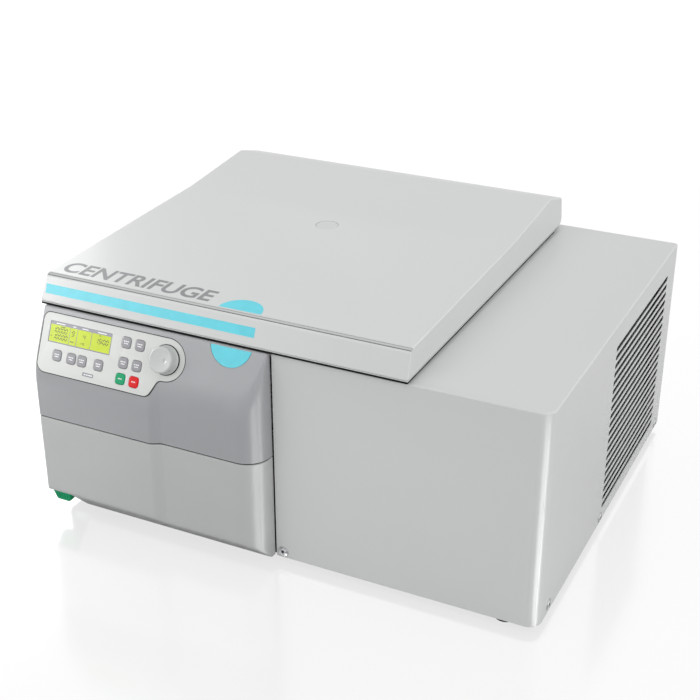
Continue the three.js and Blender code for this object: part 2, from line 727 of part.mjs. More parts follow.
place('lid_striker', strikerLoop(), STEEL);

// ---- hinge --------------------------------------------------------------------------------
function eyePlate(points, x) {
  const plate = crossPrism(points, x);
  const eye = bar([x[0], HINGE.y, HINGE.z], X, x[1] - x[0], HINGE.eye, 20);
  const hole = bar([x[0] - 5, HINGE.y, HINGE.z], X, x[1] - x[0] + 10, HINGE.rod + GAP, 16);
  return cut(join(plate, eye), hole);
}

function hingeBracket(x) {
  const top = HOUSING.height + GAP;
  const web = [[HINGE.y - 9, top], [HINGE.y + 9, top], [HINGE.y + 9, HINGE.z], [HINGE.y - 9, HINGE.z]];
  const base = box([x[0] - 8, x[1] + 8], [HINGE.y - 14, HINGE.y + 10], [top, top + 3]);
  return join(eyePlate(web, x), base);
}

// Each lid arm lies on the liner and rises at its rear end to the hinge rod.
function hingeArm(x) {
  const low = LINER.z[1] + GAP;
  const web = [
    [470, low], [528, low], [HINGE.y, HINGE.z - 9], [HINGE.y, HINGE.z + 9],
    [520, low + 16], [470, low + 6],
  ];
  return eyePlate(web, x);
}

for (const [side, x] of [['left', HINGE.x[0]], ['right', HINGE.x[1]]]) {
  const bracket = [x - HINGE.bracket / 2, x + HINGE.bracket / 2];
  const inner = side === 'left' ? bracket[1] + 1.5 : bracket[0] - 1.5 - HINGE.arm;
  place(`hinge_bracket_${side}`, hingeBracket(bracket), DARK_STEEL);
  place(`hinge_arm_${side}`, hingeArm([inner, inner + HINGE.arm]), DARK_STEEL);
}

const rodEnds = [HINGE.x[0] - 14, HINGE.x[1] + 14];
place('hinge_rod', bar([rodEnds[0], HINGE.y, HINGE.z], X, rodEnds[1] - rodEnds[0], HINGE.rod, 16), STEEL);

// ---- lid lock -----------------------------------------------------------------------------
// The motor lock sits under the deck; its hook pivots below the striker loop.
const HOOK = { y: 46, z: 276, pin: 3 };

function lidLock() {
  const x = LATCH.x;
  const body = cut(
    box([x - 30, x + 30], [12, 70], [248, 300]),
    box([x - 18, x + 18], [10, 60], [264, 310]),
  );
  return join(body, bar([x - 20, HOOK.y, HOOK.z], X, 40, HOOK.pin, 12));
}

place('lid_lock', lidLock(), BLACK_PLASTIC);

function lockHook() {
  const x = LATCH.x;
  const outline = [
    [52, 270], [53, 282], [46, 294], [40, 298], [22, 298], [19.5, 294], [19.5, 288],
    [23, 287.5], [24.2, 292], [36, 292], [39, 288], [39, 270],
  ];
  const hook = crossPrism(outline, [x - 7, x + 7]);
  return cut(hook, bar([x - 10, HOOK.y, HOOK.z], X, 20, HOOK.pin + GAP, 12));
}

place('lock_hook', lockHook(), STEEL);

// ---- cooling unit -------------------------------------------------------------------------
const COMPRESSOR = { x: 622, y: 130, radius: 66 };
const compressor = turned([
  [0, 4 + GAP], [50, 4 + GAP], [COMPRESSOR.radius, 24], [COMPRESSOR.radius, 118], [52, 144],
  [26, 154], [0, 156],
], 24);
place('compressor', compressor, BLACK_PLASTIC).position.set(COMPRESSOR.x, COMPRESSOR.y, 0);

// Cooling fins as upright teeth on a block behind the louvres.
function condenser() {
  const fins = 26;
  const pitch = 10.4;
  const outline = [[700, LOUVRE.y[0]], [722, LOUVRE.y[0]]];
  for (let i = 0; i < fins; i += 1) {
    const y = LOUVRE.y[0] + i * pitch;
    outline.push([722, y + 5], [708, y + 5], [708, y + pitch - 1.5], [722, y + pitch - 1.5]);
  }
  outline.push([722, LOUVRE.y[0] + fins * pitch + 3], [700, LOUVRE.y[0] + fins * pitch + 3]);
  const shape = new THREE.Shape(outline.map(([x, y]) => new THREE.Vector2(x, y)));
  return prism(shape, [16, 286]);
}

place('condenser', condenser(), ALUMINIUM);

function fanShroud() {
  const { x, y, z, radius } = FAN;
  const plate = cut(
    box([x + 30, x + 34], [y - 135, y + 135], [z - 128, z + 138]),
    bar([x, y, z], X, 60, radius + 8, 32),
  );
  const arms = [0, 90].map((angle) => (
    box([30, 34], [-120, 120], [-8, 8]).rotate([angle + 45, 0, 0]).translate([x, y, z])
  ));
  return join(plate, ...arms, bar([x + 12, y, z], X, 22, 25, 24));
}

place('fan_shroud', fanShroud(), BLACK_PLASTIC);

function condenserFan() {
  const { radius, blades } = FAN;
  let fan = bar([-12, 0, 0], X, 22, 34, 24);
  for (let i = 0; i < blades; i += 1) {
    const blade = box([-1.5, 1.5], [-21, 21], [28, radius]).rotate([0, 0, 62]);
    fan = join(fan, blade.rotate([(i * 360) / blades, 0, 0]));
  }
  return fan;
}

place('condenser_fan', condenserFan(), BLACK_PLASTIC).position.set(FAN.x, FAN.y, FAN.z);

// ---- whole machine, centred over its footprint, standing on its feet ---------------------
const width = [LID.left - LID.flare, HOUSING.right + SCREW.rise];
const depth = [COVER.front, HOUSING.depth];
machine.position.set(-(width[0] + width[1]) / 2, -(depth[0] + depth[1]) / 2, FOOT.height);

const group = new THREE.Group();
group.add(machine);

export default group;
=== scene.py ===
"""Refrigerated bench-top laboratory centrifuge: the looks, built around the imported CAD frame."""
import math

import bmesh
import bpy
from mathutils import Matrix, Vector


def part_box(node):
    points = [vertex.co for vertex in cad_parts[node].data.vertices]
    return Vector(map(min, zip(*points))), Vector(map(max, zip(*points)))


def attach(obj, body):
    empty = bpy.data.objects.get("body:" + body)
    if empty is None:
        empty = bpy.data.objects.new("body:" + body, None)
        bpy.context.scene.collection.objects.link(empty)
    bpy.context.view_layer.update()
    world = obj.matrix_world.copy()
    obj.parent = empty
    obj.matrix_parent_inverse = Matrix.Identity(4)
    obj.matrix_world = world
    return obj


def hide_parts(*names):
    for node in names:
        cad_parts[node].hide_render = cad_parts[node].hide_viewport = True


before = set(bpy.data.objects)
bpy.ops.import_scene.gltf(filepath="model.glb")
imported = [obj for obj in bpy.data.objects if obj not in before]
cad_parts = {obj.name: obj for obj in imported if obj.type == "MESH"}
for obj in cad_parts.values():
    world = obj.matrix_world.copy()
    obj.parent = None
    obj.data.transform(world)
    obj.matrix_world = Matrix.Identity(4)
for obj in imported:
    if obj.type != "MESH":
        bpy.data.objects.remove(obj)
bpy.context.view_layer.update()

# Shapes are drawn in millimetres in the machine's own frame: x from the lid's left edge,
# y from the housing's front (+ to the back), z from the housing's underside.
LID_OVERHANG = 5.5
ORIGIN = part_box("housing_shell")[0] - Vector((LID_OVERHANG / 1000, 0, 0))


def span(node):
    """A CAD node's lowest and highest corners in the machine frame, in millimetres."""
    low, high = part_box(node)
    return (low - ORIGIN) * 1000, (high - ORIGIN) * 1000


def centre(node):
    low, high = span(node)
    return (low + high) / 2


# ---- solids: (points, faces) in millimetres --------------------------------------------------
def arc(x, y, radius, start, end, steps):
    """Points on a circle round (x, y), angles in degrees."""
    angles = [math.radians(start + (end - start) * i / steps) for i in range(steps + 1)]
    return [(x + radius * math.cos(a), y + radius * math.sin(a)) for a in angles]


def curve(a, control, b, steps):
    """Points on a quadratic curve from a to b."""
    points = []
    for i in range(steps + 1):
        t = i / steps
        weights = ((1 - t) ** 2, 2 * t * (1 - t), t * t)
        points.append(tuple(sum(w * p[k] for w, p in zip(weights, (a, control, b))) for k in (0, 1)))
    return points


def rounded(x, y, radii, steps=6):
    """A rectangle's outline, with radii at front right, back right, back left and front left."""
    fr, br, bl, fl = radii if hasattr(radii, "__len__") else (radii,) * 4
    return (
        arc(x[1] - fr, y[0] + fr, fr, -90, 0, steps)
        + arc(x[1] - br, y[1] - br, br, 0, 90, steps)
        + arc(x[0] + bl, y[1] - bl, bl, 90, 180, steps)
        + arc(x[0] + fl, y[0] + fl, fl, 180, 270, steps)
    )


def skin(loops):
    """A closed solid over loops of equal length, capped at both ends."""
    count = len(loops[0])
    points = [tuple(p) for loop in loops for p in loop]
    faces = [tuple(range(count)), tuple(range(len(points) - count, len(points)))]
    for k in range(len(loops) - 1):
        for i in range(count):
            j = (i + 1) % count
            low, high = k * count, (k + 1) * count
            faces.append((low + i, low + j, high + j, high + i))
    return points, faces


def prism(outline, low, high):
    return skin([[(x, y, z) for x, y in outline] for z in (low, high)])


def across(profile, low, high):
    """An outline of (y, z) points drawn across the machine from x = low to x = high."""
    return skin([[(x, y, z) for y, z in profile] for x in (low, high)])


def block(x, y, z):
    return prism([(x[0], y[0]), (x[1], y[0]), (x[1], y[1]), (x[0], y[1])], *z)


def cushion(outline_of, low, high, edge, steps=4):
    """A plate whose upper edge is rounded: outline_of(inset) gives the outline."""
    levels = [(low, 0), (high - edge, 0)]
    for i in range(1, steps + 1):
        turn = math.radians(90 * i / steps)
        levels.append((high - edge + edge * math.sin(turn), edge * (1 - math.cos(turn))))
    return skin([[(x, y, z) for x, y in outline_of(inset)] for z, inset in levels])


def lathe(profile, segments=64):
    """(radius, z) points turned about the z axis, from axis to axis or closed on itself."""
    points, faces = [], []
    for radius, z in profile:
        for i in range(segments):
            angle = 2 * math.pi * i / segments
            points.append((radius * math.cos(angle), radius * math.sin(angle), z))
    for k in range(len(profile) - 1):
        for i in range(segments):
            j = (i + 1) % segments
            low, high = k * segments, (k + 1) * segments
            faces.append((low + i, low + j, high + j, high + i))
    return points, faces


def moved(solid, matrix):
    return [tuple(matrix @ Vector(p)) for p in solid[0]], solid[1]


def shifted(solid, x, y, z):
    return moved(solid, Matrix.Translation((x, y, z)))


def together(*solids):
    points, faces = [], []
    for solid_points, solid_faces in solids:
        start = len(points)
        points += solid_points
        faces += [tuple(start + i for i in face) for face in solid_faces]
    return points, faces


# ---- objects ---------------------------------------------------------------------------------
def mesh_object(name, solid, weld=1e-6):
    points, faces = solid
    mesh = bpy.data.meshes.new(name)
    mesh.from_pydata([ORIGIN + Vector(p) / 1000 for p in points], [], faces)
    shape = bmesh.new()
    shape.from_mesh(mesh)
    bmesh.ops.remove_doubles(shape, verts=shape.verts, dist=weld)
    bmesh.ops.recalc_face_normals(shape, faces=shape.faces)
    shape.to_mesh(mesh)
    shape.free()
    obj = bpy.data.objects.new(name, mesh)
    bpy.context.scene.collection.objects.link(obj)
    return obj


def apply_modifiers(obj):
    graph = bpy.context.evaluated_depsgraph_get()
    mesh = bpy.data.meshes.new_from_object(obj.evaluated_get(graph))
    obj.modifiers.clear()
    obj.data = mesh


def carve(obj, cutters, operation="DIFFERENCE"):
    """Cuts solids out of obj, or joins them to it."""
    for i, cutter in enumerate(cutters):
        tool = mesh_object(f"cutter_{i}", cutter)
        modifier = obj.modifiers.new("carve", "BOOLEAN")
        modifier.operation = operation
        modifier.solver = "EXACT"
        modifier.object = tool
        apply_modifiers(obj)
        bpy.data.objects.remove(tool)


def round_edges(obj, width, steps=3, angle=25):
    """Rounds the edges sharper than an angle in degrees, to a width in millimetres."""
    modifier = obj.modifiers.new("edges", "BEVEL")
    modifier.width = width / 1000
    modifier.segments = steps
    modifier.limit_method = "ANGLE"
    modifier.angle_limit = math.radians(angle)
    modifier.use_clamp_overlap = True


def shade(obj, angle):
    obj.data.shade_smooth()
    obj.data.set_sharp_from_angle(angle=math.radians(angle))
    modifier = obj.modifiers.new("normals", "WEIGHTED_NORMAL")
    modifier.keep_sharp = True


def make(name, solid, material, body="base", replaces=None, edge=0, cuts=(), joins=(),
         late_edge=0, smooth=40):
    """A finished piece. edge rounds it before it is cut, late_edge after."""
    obj = mesh_object(name, solid)
    if edge:
        round_edges(obj, edge)
        apply_modifiers(obj)
    carve(obj, joins, "UNION")
    carve(obj, cuts)
    if late_edge:
        round_edges(obj, late_edge, 2)
        apply_modifiers(obj)
    shade(obj, smooth)
    obj.data.materials.clear()
    obj.data.materials.append(material)
    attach(obj, body)
    if replaces:
        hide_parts(replaces)
    return obj


# ---- materials -------------------------------------------------------------------------------
def linear(hex_colour):
    """A #rrggbb colour in linear light."""
    channels = [int(hex_colour[i:i + 2], 16) / 255 for i in (1, 3, 5)]
    return [c / 12.92 if c <= 0.04045 else ((c + 0.055) / 1.055) ** 2.4 for c in channels] + [1]


def scaled(colour, factor):
    return [min(c * factor, 1) for c in colour[:3]] + [1]


class Surface:
    """A Principled material with its nodes, built step by step."""

    def __init__(self, name, metallic=0.0, specular=0.5, coat=0.0, coat_roughness=0.1):
        self.material = bpy.data.materials.new(name)
        self.material.use_nodes = True
        self.nodes = self.material.node_tree.nodes
        self.links = self.material.node_tree.links
        self.shader = self.nodes["Principled BSDF"]
        self.shader.inputs["Metallic"].default_value = metallic
        self.shader.inputs["Specular IOR Level"].default_value = specular
        self.shader.inputs["Coat Weight"].default_value = coat
        self.shader.inputs["Coat Roughness"].default_value = coat_roughness
        self.place = self.nodes.new("ShaderNodeTexCoord").outputs["Object"]

    def stretched(self, scale):
        mapping = self.nodes.new("ShaderNodeMapping")
        mapping.inputs["Scale"].default_value = scale
        self.links.new(self.place, mapping.inputs["Vector"])
        return mapping.outputs["Vector"]

    def noise(self, scale, detail=3.0, roughness=0.5, vector=None):
        node = self.nodes.new("ShaderNodeTexNoise")
        node.inputs["Scale"].default_value = scale
        node.inputs["Detail"].default_value = detail
        node.inputs["Roughness"].default_value = roughness
        self.links.new(vector or self.place, node.inputs["Vector"])
        return node.outputs["Fac"]

    def ranged(self, value, source, target):
        node = self.nodes.new("ShaderNodeMapRange")
        node.clamp = True
        node.inputs["From Min"].default_value = source[0]
        node.inputs["From Max"].default_value = source[1]
        node.inputs["To Min"].default_value = target[0]
        node.inputs["To Max"].default_value = target[1]
        self.links.new(value, node.inputs["Value"])
        return node.outputs["Result"]

    def mixed(self, factor, a, b):
        """Colour a where factor is 0 and b where it is 1."""
        node = self.nodes.new("ShaderNodeMix")
        node.data_type = "RGBA"
        self.links.new(factor, node.inputs["Factor"])
        for colour, socket in ((a, node.inputs[6]), (b, node.inputs[7])):
            if hasattr(colour, "is_linked"):
                self.links.new(colour, socket)
            else:
                socket.default_value = colour
        return node.outputs[2]

    def rubbed_and_lit_edges(self, colour, edge_colour, amount):
        """Lighter colour along sharp edges: rubbed wear, and a painted highlight where the edges catch the
        light.
        """
        pointiness = self.nodes.new("ShaderNodeNewGeometry").outputs["Pointiness"]
        edge = self.ranged(pointiness, (0.515, 0.58), (0.0, amount))
        return self.mixed(edge, colour, edge_colour)

    def finish(self, colour, roughness, bump=None, bump_distance=0.0001, bump_strength=1.0):
        self.links.new(colour, self.shader.inputs["Base Color"])
        self.links.new(roughness, self.shader.inputs["Roughness"])
        if bump is not None:
            node = self.nodes.new("ShaderNodeBump")
            node.inputs["Distance"].default_value = bump_distance
            node.inputs["Strength"].default_value = bump_strength
            self.links.new(bump, node.inputs["Height"])
            self.links.new(node.outputs["Normal"], self.shader.inputs["Normal"])
        return self.material


def powder_coat(name, colour):
    """Powder-coated sheet: orange peel, faint cloudiness, and edges painted lighter: rubbed paint, and a
    painted highlight where they catch the light.
    """
    surface = Surface(name, specular=0.45, coat=0.55, coat_roughness=0.16)
    base = linear(colour)
    cloud = surface.ranged(surface.noise(2.3, 4), (0.3, 0.7), (0, 1))
    tint = surface.mixed(cloud, scaled(base, 0.985), scaled(base, 1.015))
    speck = surface.ranged(surface.noise(1400, 1), (0.68, 0.78), (0, 0.25))
    tint = surface.mixed(speck, tint, scaled(base, 0.86))
    # Edges painted lighter: rubbed paint, and a painted highlight.
    tint = surface.rubbed_and_lit_edges(tint, scaled(base, 1.3), 0.25)
    roughness = surface.ranged(surface.noise(9, 5), (0.3, 0.7), (0.36, 0.46))
    return surface.finish(tint, roughness, surface.noise(620, 2, 0.4), 0.00003, 0.35)


def moulded(name, colour, gloss=(0.34, 0.46), grain=900, edge_wear_and_sheen=0.2, depth=0.00004, speckle=0.15,
            coat=0.3):
    """Injection-moulded plastic with a fine spark-eroded grain."""
    surface = Surface(name, specular=0.15 + coat, coat=coat, coat_roughness=0.16)
    base = linear(colour)
    cloud = surface.ranged(surface.noise(6, 5), (0.3, 0.7), (0, 1))
    tint = surface.mixed(cloud, scaled(base, 0.97), scaled(base, 1.02))
    fleck = surface.ranged(surface.noise(grain * 1.7, 1), (0.6, 0.8), (0, speckle))
    tint = surface.mixed(fleck, tint, scaled(base, 0.82))
    # Edges painted lighter by this amount: rubbed wear, and a painted highlight.
    tint = surface.rubbed_and_lit_edges(tint, scaled(base, 1.25), edge_wear_and_sheen)
    roughness = surface.ranged(surface.noise(24, 4), (0.3, 0.7), gloss)
    return surface.finish(tint, roughness, surface.noise(grain, 3), depth, 0.4)


def printed(name, colour):
    """Screen-printed or foil colour with a slightly uneven ink film."""
    surface = Surface(name, specular=0.45, coat=0.1, coat_roughness=0.25)
    base = linear(colour)
    uneven = surface.ranged(surface.noise(60, 5), (0.35, 0.65), (0, 1))
    tint = surface.mixed(uneven, scaled(base, 0.96), scaled(base, 1.03))
    roughness = surface.ranged(surface.noise(140, 3), (0.3, 0.7), (0.3, 0.42))
    return surface.finish(tint, roughness, surface.noise(1200, 2), 0.00001, 0.25)


def brushed(name, colour, gloss, scale):
    """Metal with a directional grain; scale stretches the grain along x, y and z."""
    surface = Surface(name, metallic=1.0)
    base = linear(colour)
    lines = surface.noise(1, 4, 0.6, surface.stretched(scale))
    tint = surface.mixed(surface.ranged(lines, (0.3, 0.7), (0, 1)), scaled(base, 0.88), scaled(base, 1.05))
    cloud = surface.ranged(surface.noise(14, 5), (0.45, 0.75), (0, 0.12))
    tint = surface.mixed(cloud, tint, scaled(base, 0.6))
    roughness = surface.ranged(lines, (0.25, 0.75), gloss)
    return surface.finish(tint, roughness, lines, 0.00002, 0.3)


def cast(name, colour):
    """Blasted or cast metal with small pits and a dull oxide cloud."""
    surface = Surface(name, metallic=1.0)
    base = linear(colour)
    cloud = surface.ranged(surface.noise(18, 5), (0.35, 0.7), (0, 1))
    tint = surface.mixed(cloud, scaled(base, 1.05), scaled(base, 0.8))
    tint = surface.rubbed_and_lit_edges(tint, scaled(base, 1.35), 0.5)
    roughness = surface.ranged(surface.noise(45, 5), (0.3, 0.7), (0.34, 0.52))
    return surface.finish(tint, roughness, surface.noise(700, 4, 0.65), 0.00006, 0.5)


def rubber(name, colour):
    """Dull rubber with a little dust."""
    surface = Surface(name, specular=0.15)
    base = linear(colour)
    dust = surface.ranged(surface.noise(40, 6), (0.5, 0.8), (0, 0.35))
    tint = surface.mixed(dust, base, linear("#2c2c2b"))
    roughness = surface.ranged(surface.noise(90, 4), (0.3, 0.7), (0.62, 0.85))
    return surface.finish(tint, roughness, surface.noise(600, 4), 0.00008, 0.6)


def glowing(name, colour, strength):
    """Back-lit display glass, its glow a little uneven across its diffuser."""
    surface = Surface(name, specular=0.3, coat=0.12, coat_roughness=0.05)
    base = linear(colour)
    patch = surface.ranged(surface.noise(45, 2), (0.3, 0.7), (0, 1))
    tint = surface.mixed(patch, scaled(base, 0.93), scaled(base, 1.02))
    surface.links.new(tint, surface.shader.inputs["Emission Color"])
    surface.shader.inputs["Emission Strength"].default_value = strength
    roughness = surface.ranged(surface.noise(200, 2), (0.3, 0.7), (0.18, 0.26))
    return surface.finish(tint, roughness, surface.noise(1500, 2), 0.00001, 0.2)


HOUSING_PAINT = powder_coat("housing_paint", "#c4c6c5")
LID_PAINT = powder_coat("lid_paint", "#c3c5c4")
# The lid's paint, made darker: painted shade on the trim strip along the lid's front bevel.
TRIM_SHADED_PAINT = powder_coat("trim_shaded_paint", "#b2b4b3")
# Dark grey for painted shade in the channel under the lid's trim strip.
GROOVE_SHADE_GREY = moulded("groove_shade_grey", "#6c6e70")
COVER_DARK = moulded("cover_dark", "#9c9da0")
COVER_LIGHT = moulded("cover_light", "#b4b6b5")
# The film's edges are painted much lighter (0.5): a painted highlight round its rim.
FILM = moulded("keypad_film", "#c4c6c3", (0.3, 0.4), 1500, 0.5, 0.00001, 0.05)
KEY_GREY = moulded("key_grey", "#86868b")
KEY_GREEN = moulded("green_plastic", "#009a66", coat=0.02)
KEY_RED = moulded("red_plastic", "#d80009", coat=0.02)
KNOB_GREY = moulded("knob_grey", "#babcbb", (0.26, 0.36))
BLACK_PLASTIC = moulded("black_plastic", "#1b1c1e", (0.4, 0.6))
RUBBER = rubber("rubber", "#0b0b0c")
STAINLESS = brushed("stainless", "#c4c6c8", (0.2, 0.34), (40, 40, 900))
SCREW_STEEL = brushed("screw_steel", "#d4d5d6", (0.16, 0.3), (300, 300, 300))
DARK_STEEL = cast("dark_steel", "#4b4e52")
ALUMINIUM = cast("cast_aluminium", "#b2b5b8")
FIN_METAL = brushed("fin_metal", "#3b3e42", (0.4, 0.6), (30, 30, 600))
BOARD_GREEN = moulded("circuit_board", "#1a5a35")
CYAN = printed("cyan_ink", "#55cbdb")
GREY_INK = printed("grey_ink", "#7d7f81")
LEGEND_INK = printed("legend_ink", "#f0f1f4")
BORDER_INK = printed("display_border", "#8d8c9a")
DIGIT_INK = printed("digit_ink", "#1d2410")
LCD = glowing("display_glass", "#c4d636", 0.11)
# Near-black for painted shade: in seams, gaps and recesses, in screw sockets, round the knob and behind the
# louvres.
SHADE_BLACK = moulded("shade_black", "#0e0f10", (0.6, 0.8))


# ---- camera, floor and light -----------------------------------------------------------------
def set_camera():
    camera = bpy.data.objects.new("camera", bpy.data.cameras.new("camera"))
    bpy.context.scene.collection.objects.link(camera)
    camera.location = (0.7502, -1.6056, 1.0784)
    camera.rotation_euler = [math.radians(a) for a in (63.74, 0, 26.01)]
    camera.data.lens = 68.94
    camera.data.sensor_width = 36
    bpy.context.scene.camera = camera


def softbox(name, location, size, radiance, diffuse=False):
    """A rectangular light that faces the middle of the object, seen in gloss only unless diffuse."""
    light = bpy.data.objects.new(name, bpy.data.lights.new(name, "AREA"))
    light.data.shape = "RECTANGLE"
    light.data.size, light.data.size_y = size
    light.data.energy = radiance * math.pi * size[0] * size[1]
    light.location = location
    light.rotation_euler = (Vector((0, 0, 0.3)) - light.location).to_track_quat("-Z", "Y").to_euler()
    light.visible_diffuse = diffuse
    bpy.context.scene.collection.objects.link(light)


def set_floor():
    """A polished pale floor. Its own glow keeps it white to the eye and off the object's walls."""
    half = 9
    mesh = bpy.data.meshes.new("floor")
    corners = [(-half, -half, 0), (half, -half, 0), (half, half, 0), (-half, half, 0)]
    mesh.from_pydata(corners, [], [(0, 1, 2, 3)])
    floor = bpy.data.objects.new("floor", mesh)
    bpy.context.scene.collection.objects.link(floor)
    surface = Surface("studio_floor", specular=1.0, coat=1.0, coat_roughness=0.12)
    seen = surface.nodes.new("ShaderNodeLightPath").outputs["Is Camera Ray"]
    tint = surface.mixed(seen, linear("#c6c6c6"), linear("#5c5c5c"))
    glow = surface.mixed(seen, (0, 0, 0, 1), linear("#e6e6e6"))
    surface.links.new(glow, surface.shader.inputs["Emission Color"])
    surface.shader.inputs["Emission Strength"].default_value = 1.0
    gloss = surface.ranged(surface.noise(4, 2), (0.3, 0.7), (0.16, 0.2))
    mesh.materials.append(surface.finish(tint, gloss))


def set_light():
    """A white dome, brighter at its sides, with a soft key from the front left."""
    world = bpy.data.worlds.new("studio")
    world.use_nodes = True
    nodes, links = world.node_tree.nodes, world.node_tree.links
    split = nodes.new("ShaderNodeSeparateXYZ")
    links.new(nodes.new("ShaderNodeTexCoord").outputs["Generated"], split.inputs["Vector"])
    side = nodes.new("ShaderNodeMapRange")
    side.inputs["From Min"].default_value, side.inputs["From Max"].default_value = 0.1, 1.0
    side.inputs["To Min"].default_value, side.inputs["To Max"].default_value = 0.84, 1.75
    links.new(split.outputs["X"], side.inputs["Value"])
    seen = nodes.new("ShaderNodeLightPath").outputs["Is Camera Ray"]
    strength = nodes.new("ShaderNodeMath")
    strength.operation = "MAXIMUM"
    links.new(side.outputs["Result"], strength.inputs[0])
    links.new(seen, strength.inputs[1])
    links.new(strength.outputs["Value"], nodes["Background"].inputs["Strength"])
    nodes["Background"].inputs["Color"].default_value = (1, 1, 1, 1)
    bpy.context.scene.world = world
    bpy.context.scene.view_settings.view_transform = "Standard"
    softbox("key_softbox", (-1.1, -1.9, 1.9), (1.6, 1.6), 1.1, diffuse=True)
    softbox("back_left_softbox", (-2.9, 1.5, 1.4), (2.0, 1.6), 2.6)
    softbox("front_left_softbox", (-2.5, -1.7, 1.1), (1.8, 1.4), 10)


def floor_fan(name, corner, bearing, radiance, spread, lit):
    """A fan of light lying on the floor, seen only as an upright streak in the gloss of the lit pieces.

    It spreads from a corner, at a bearing in degrees from -Y towards +X.
    """
    way = Vector((math.sin(math.radians(bearing)), -math.cos(math.radians(bearing)), 0))
    receivers = bpy.data.collections.new(name + "_receivers")
    for piece in lit:
        receivers.objects.link(piece)
    reaches = (0.012, 0.03, 0.06, 0.11, 0.2, 0.34, 0.55)
    for near, far in zip(reaches, reaches[1:]):
        light = bpy.data.objects.new(name, bpy.data.lights.new(name, "AREA"))
        light.data.shape = "RECTANGLE"
        light.data.size, light.data.size_y = far - near, spread * (near + far) / 2
        light.data.energy = radiance * math.pi * light.data.size * light.data.size_y
        light.location = ORIGIN + Vector(corner) / 1000 + way * (near + far) / 2
        light.location.z = 0.004
        light.rotation_euler = (math.pi, 0, math.radians(bearing - 90))
        light.visible_diffuse = False
        light.visible_camera = False
        bpy.context.scene.collection.objects.link(light)
        light.light_linking.receiver_collection = receivers


# ---- housing ---------------------------------------------------------------------------------
HOUSING_LOW, HOUSING_HIGH = span("housing_shell")
COVER_LOW, COVER_HIGH = span("front_cover_upper")
HOUSING_CORNER = 18
HOUSING_BEND = 4
SHEET = 2
COVER_SEAM = 2
FRAME_MARGIN = 8
LOUVRE_COUNT, LOUVRE_FIRST, LOUVRE_PITCH, LOUVRE_SLOT = 20, 24, 13, 8.2
LOUVRE_SKIN = 0.9
LOUVRE_Y = (277, 553)
LOUVRE_SHADE_Y, LOUVRE_SHADE_Z = (516, 562), (14, 290)


def housing_outline(inset):
    sharp = max(HOUSING_BEND - inset, 0.5)
    x = (HOUSING_LOW.x + inset, HOUSING_HIGH.x - inset)
    y = (HOUSING_LOW.y + inset, HOUSING_HIGH.y - inset)
    return rounded(x, y, (HOUSING_CORNER - inset, sharp, sharp, sharp), 10)


def housing():
    top = HOUSING_HIGH.z
    bend = 2.4
    outer = cushion(housing_outline, 0, top, bend, 6)
    inner = cushion(lambda inset: housing_outline(inset + SHEET), -5, top - SHEET, bend - 1.6)
    deck_low, deck_high = span("chamber_deck")
    margin = FRAME_MARGIN
    opening = rounded((deck_low.x + margin, deck_high.x - margin),
                      (deck_low.y + margin, deck_high.y - margin), 10)
    rear_low, rear_high = span("rear_panel")
    louvre_top = LOUVRE_FIRST + (LOUVRE_COUNT - 1) * LOUVRE_PITCH
    cuts = [
        inner,
        block((8, COVER_HIGH.x + COVER_SEAM), (-2, SHEET + 1), (-3, top - SHEET)),
        prism(opening, top - 10, top + 10),
        block((rear_low.x + margin, rear_high.x - margin), (HOUSING_HIGH.y - 5, HOUSING_HIGH.y + 5),
              (rear_low.z - 5, rear_high.z - margin)),
        together(*louvres()),
        block((HOUSING_HIGH.x - SHEET - 2, HOUSING_HIGH.x - LOUVRE_SKIN),
              (LOUVRE_Y[0] - 6, LOUVRE_Y[1] + 6), (LOUVRE_FIRST - 8, louvre_top + 8)),
    ]
    shell = make("housing_skin", outer, HOUSING_PAINT, replaces="housing_shell",
                 cuts=cuts)
    # A black block behind the slots' rear ends: painted shade for the dark inside seen through them.
    shade_x = (span("condenser")[1].x + 0.4, HOUSING_HIGH.x - SHEET - 0.4)
    make("louvre_shade_block", block(shade_x, LOUVRE_SHADE_Y, LOUVRE_SHADE_Z), SHADE_BLACK, edge=0.4)
    return shell


def louvres():
    """Round-ended slots through the right side, one above another."""
    radius = LOUVRE_SLOT / 2
    x = (HOUSING_HIGH.x - 6, HOUSING_HIGH.x + 4)
    slots = []
    for i in range(LOUVRE_COUNT):
        z = LOUVRE_FIRST + i * LOUVRE_PITCH
        outline = (arc(LOUVRE_Y[1] - radius, z, radius, -90, 90, 6)
                   + arc(LOUVRE_Y[0] + radius, z, radius, 90, 270, 6))
        slots.append(across(outline, *x))
    return slots


def screws():
    """Dished washers with a socket screw in each, on the front and the right side."""
    for node in ("screw_front", "screw_right_front", "screw_right_middle", "screw_right_rear"):
        low, high = span(node)
        middle = (low + high) / 2
        front = node == "screw_front"
        washer = (high.x - low.x if front else high.y - low.y) / 2
        rise = 2
        profile = [
            (0, -2), (washer - 0.3, -2), (washer, 0.3), (washer - 0.2, 0.9), (washer - 1, 1.15),
            (washer - 2.2, 0.5), (5.0, 0.25), (4.8, 0.4), (4.6, rise - 0.35), (4.25, rise), (0, rise),
        ]
        socket = [(0, rise - 1.55), (2.3, rise - 1.55), (2.3, rise - 1.3), (0, rise - 1.3)]
        recess = prism([(2.6 * math.cos(a), 2.6 * math.sin(a)) for a in
                        [math.radians(60 * i + 30) for i in range(6)]], rise - 1.6, rise + 2)
        if front:
            place = Matrix.Translation((middle.x, 0, middle.z)) @ Matrix.Rotation(math.pi / 2, 4, "X")
        else:
            place = (Matrix.Translation((HOUSING_HIGH.x, middle.y, middle.z))
                     @ Matrix.Rotation(math.pi / 2, 4, "Y"))
        make(node.replace("screw", "socket_screw"), moved(lathe(profile), place), SCREW_STEEL,
             replaces=node, cuts=[moved(recess, place)], smooth=30)
        make(node + "_shade", moved(lathe(socket), place), SHADE_BLACK)


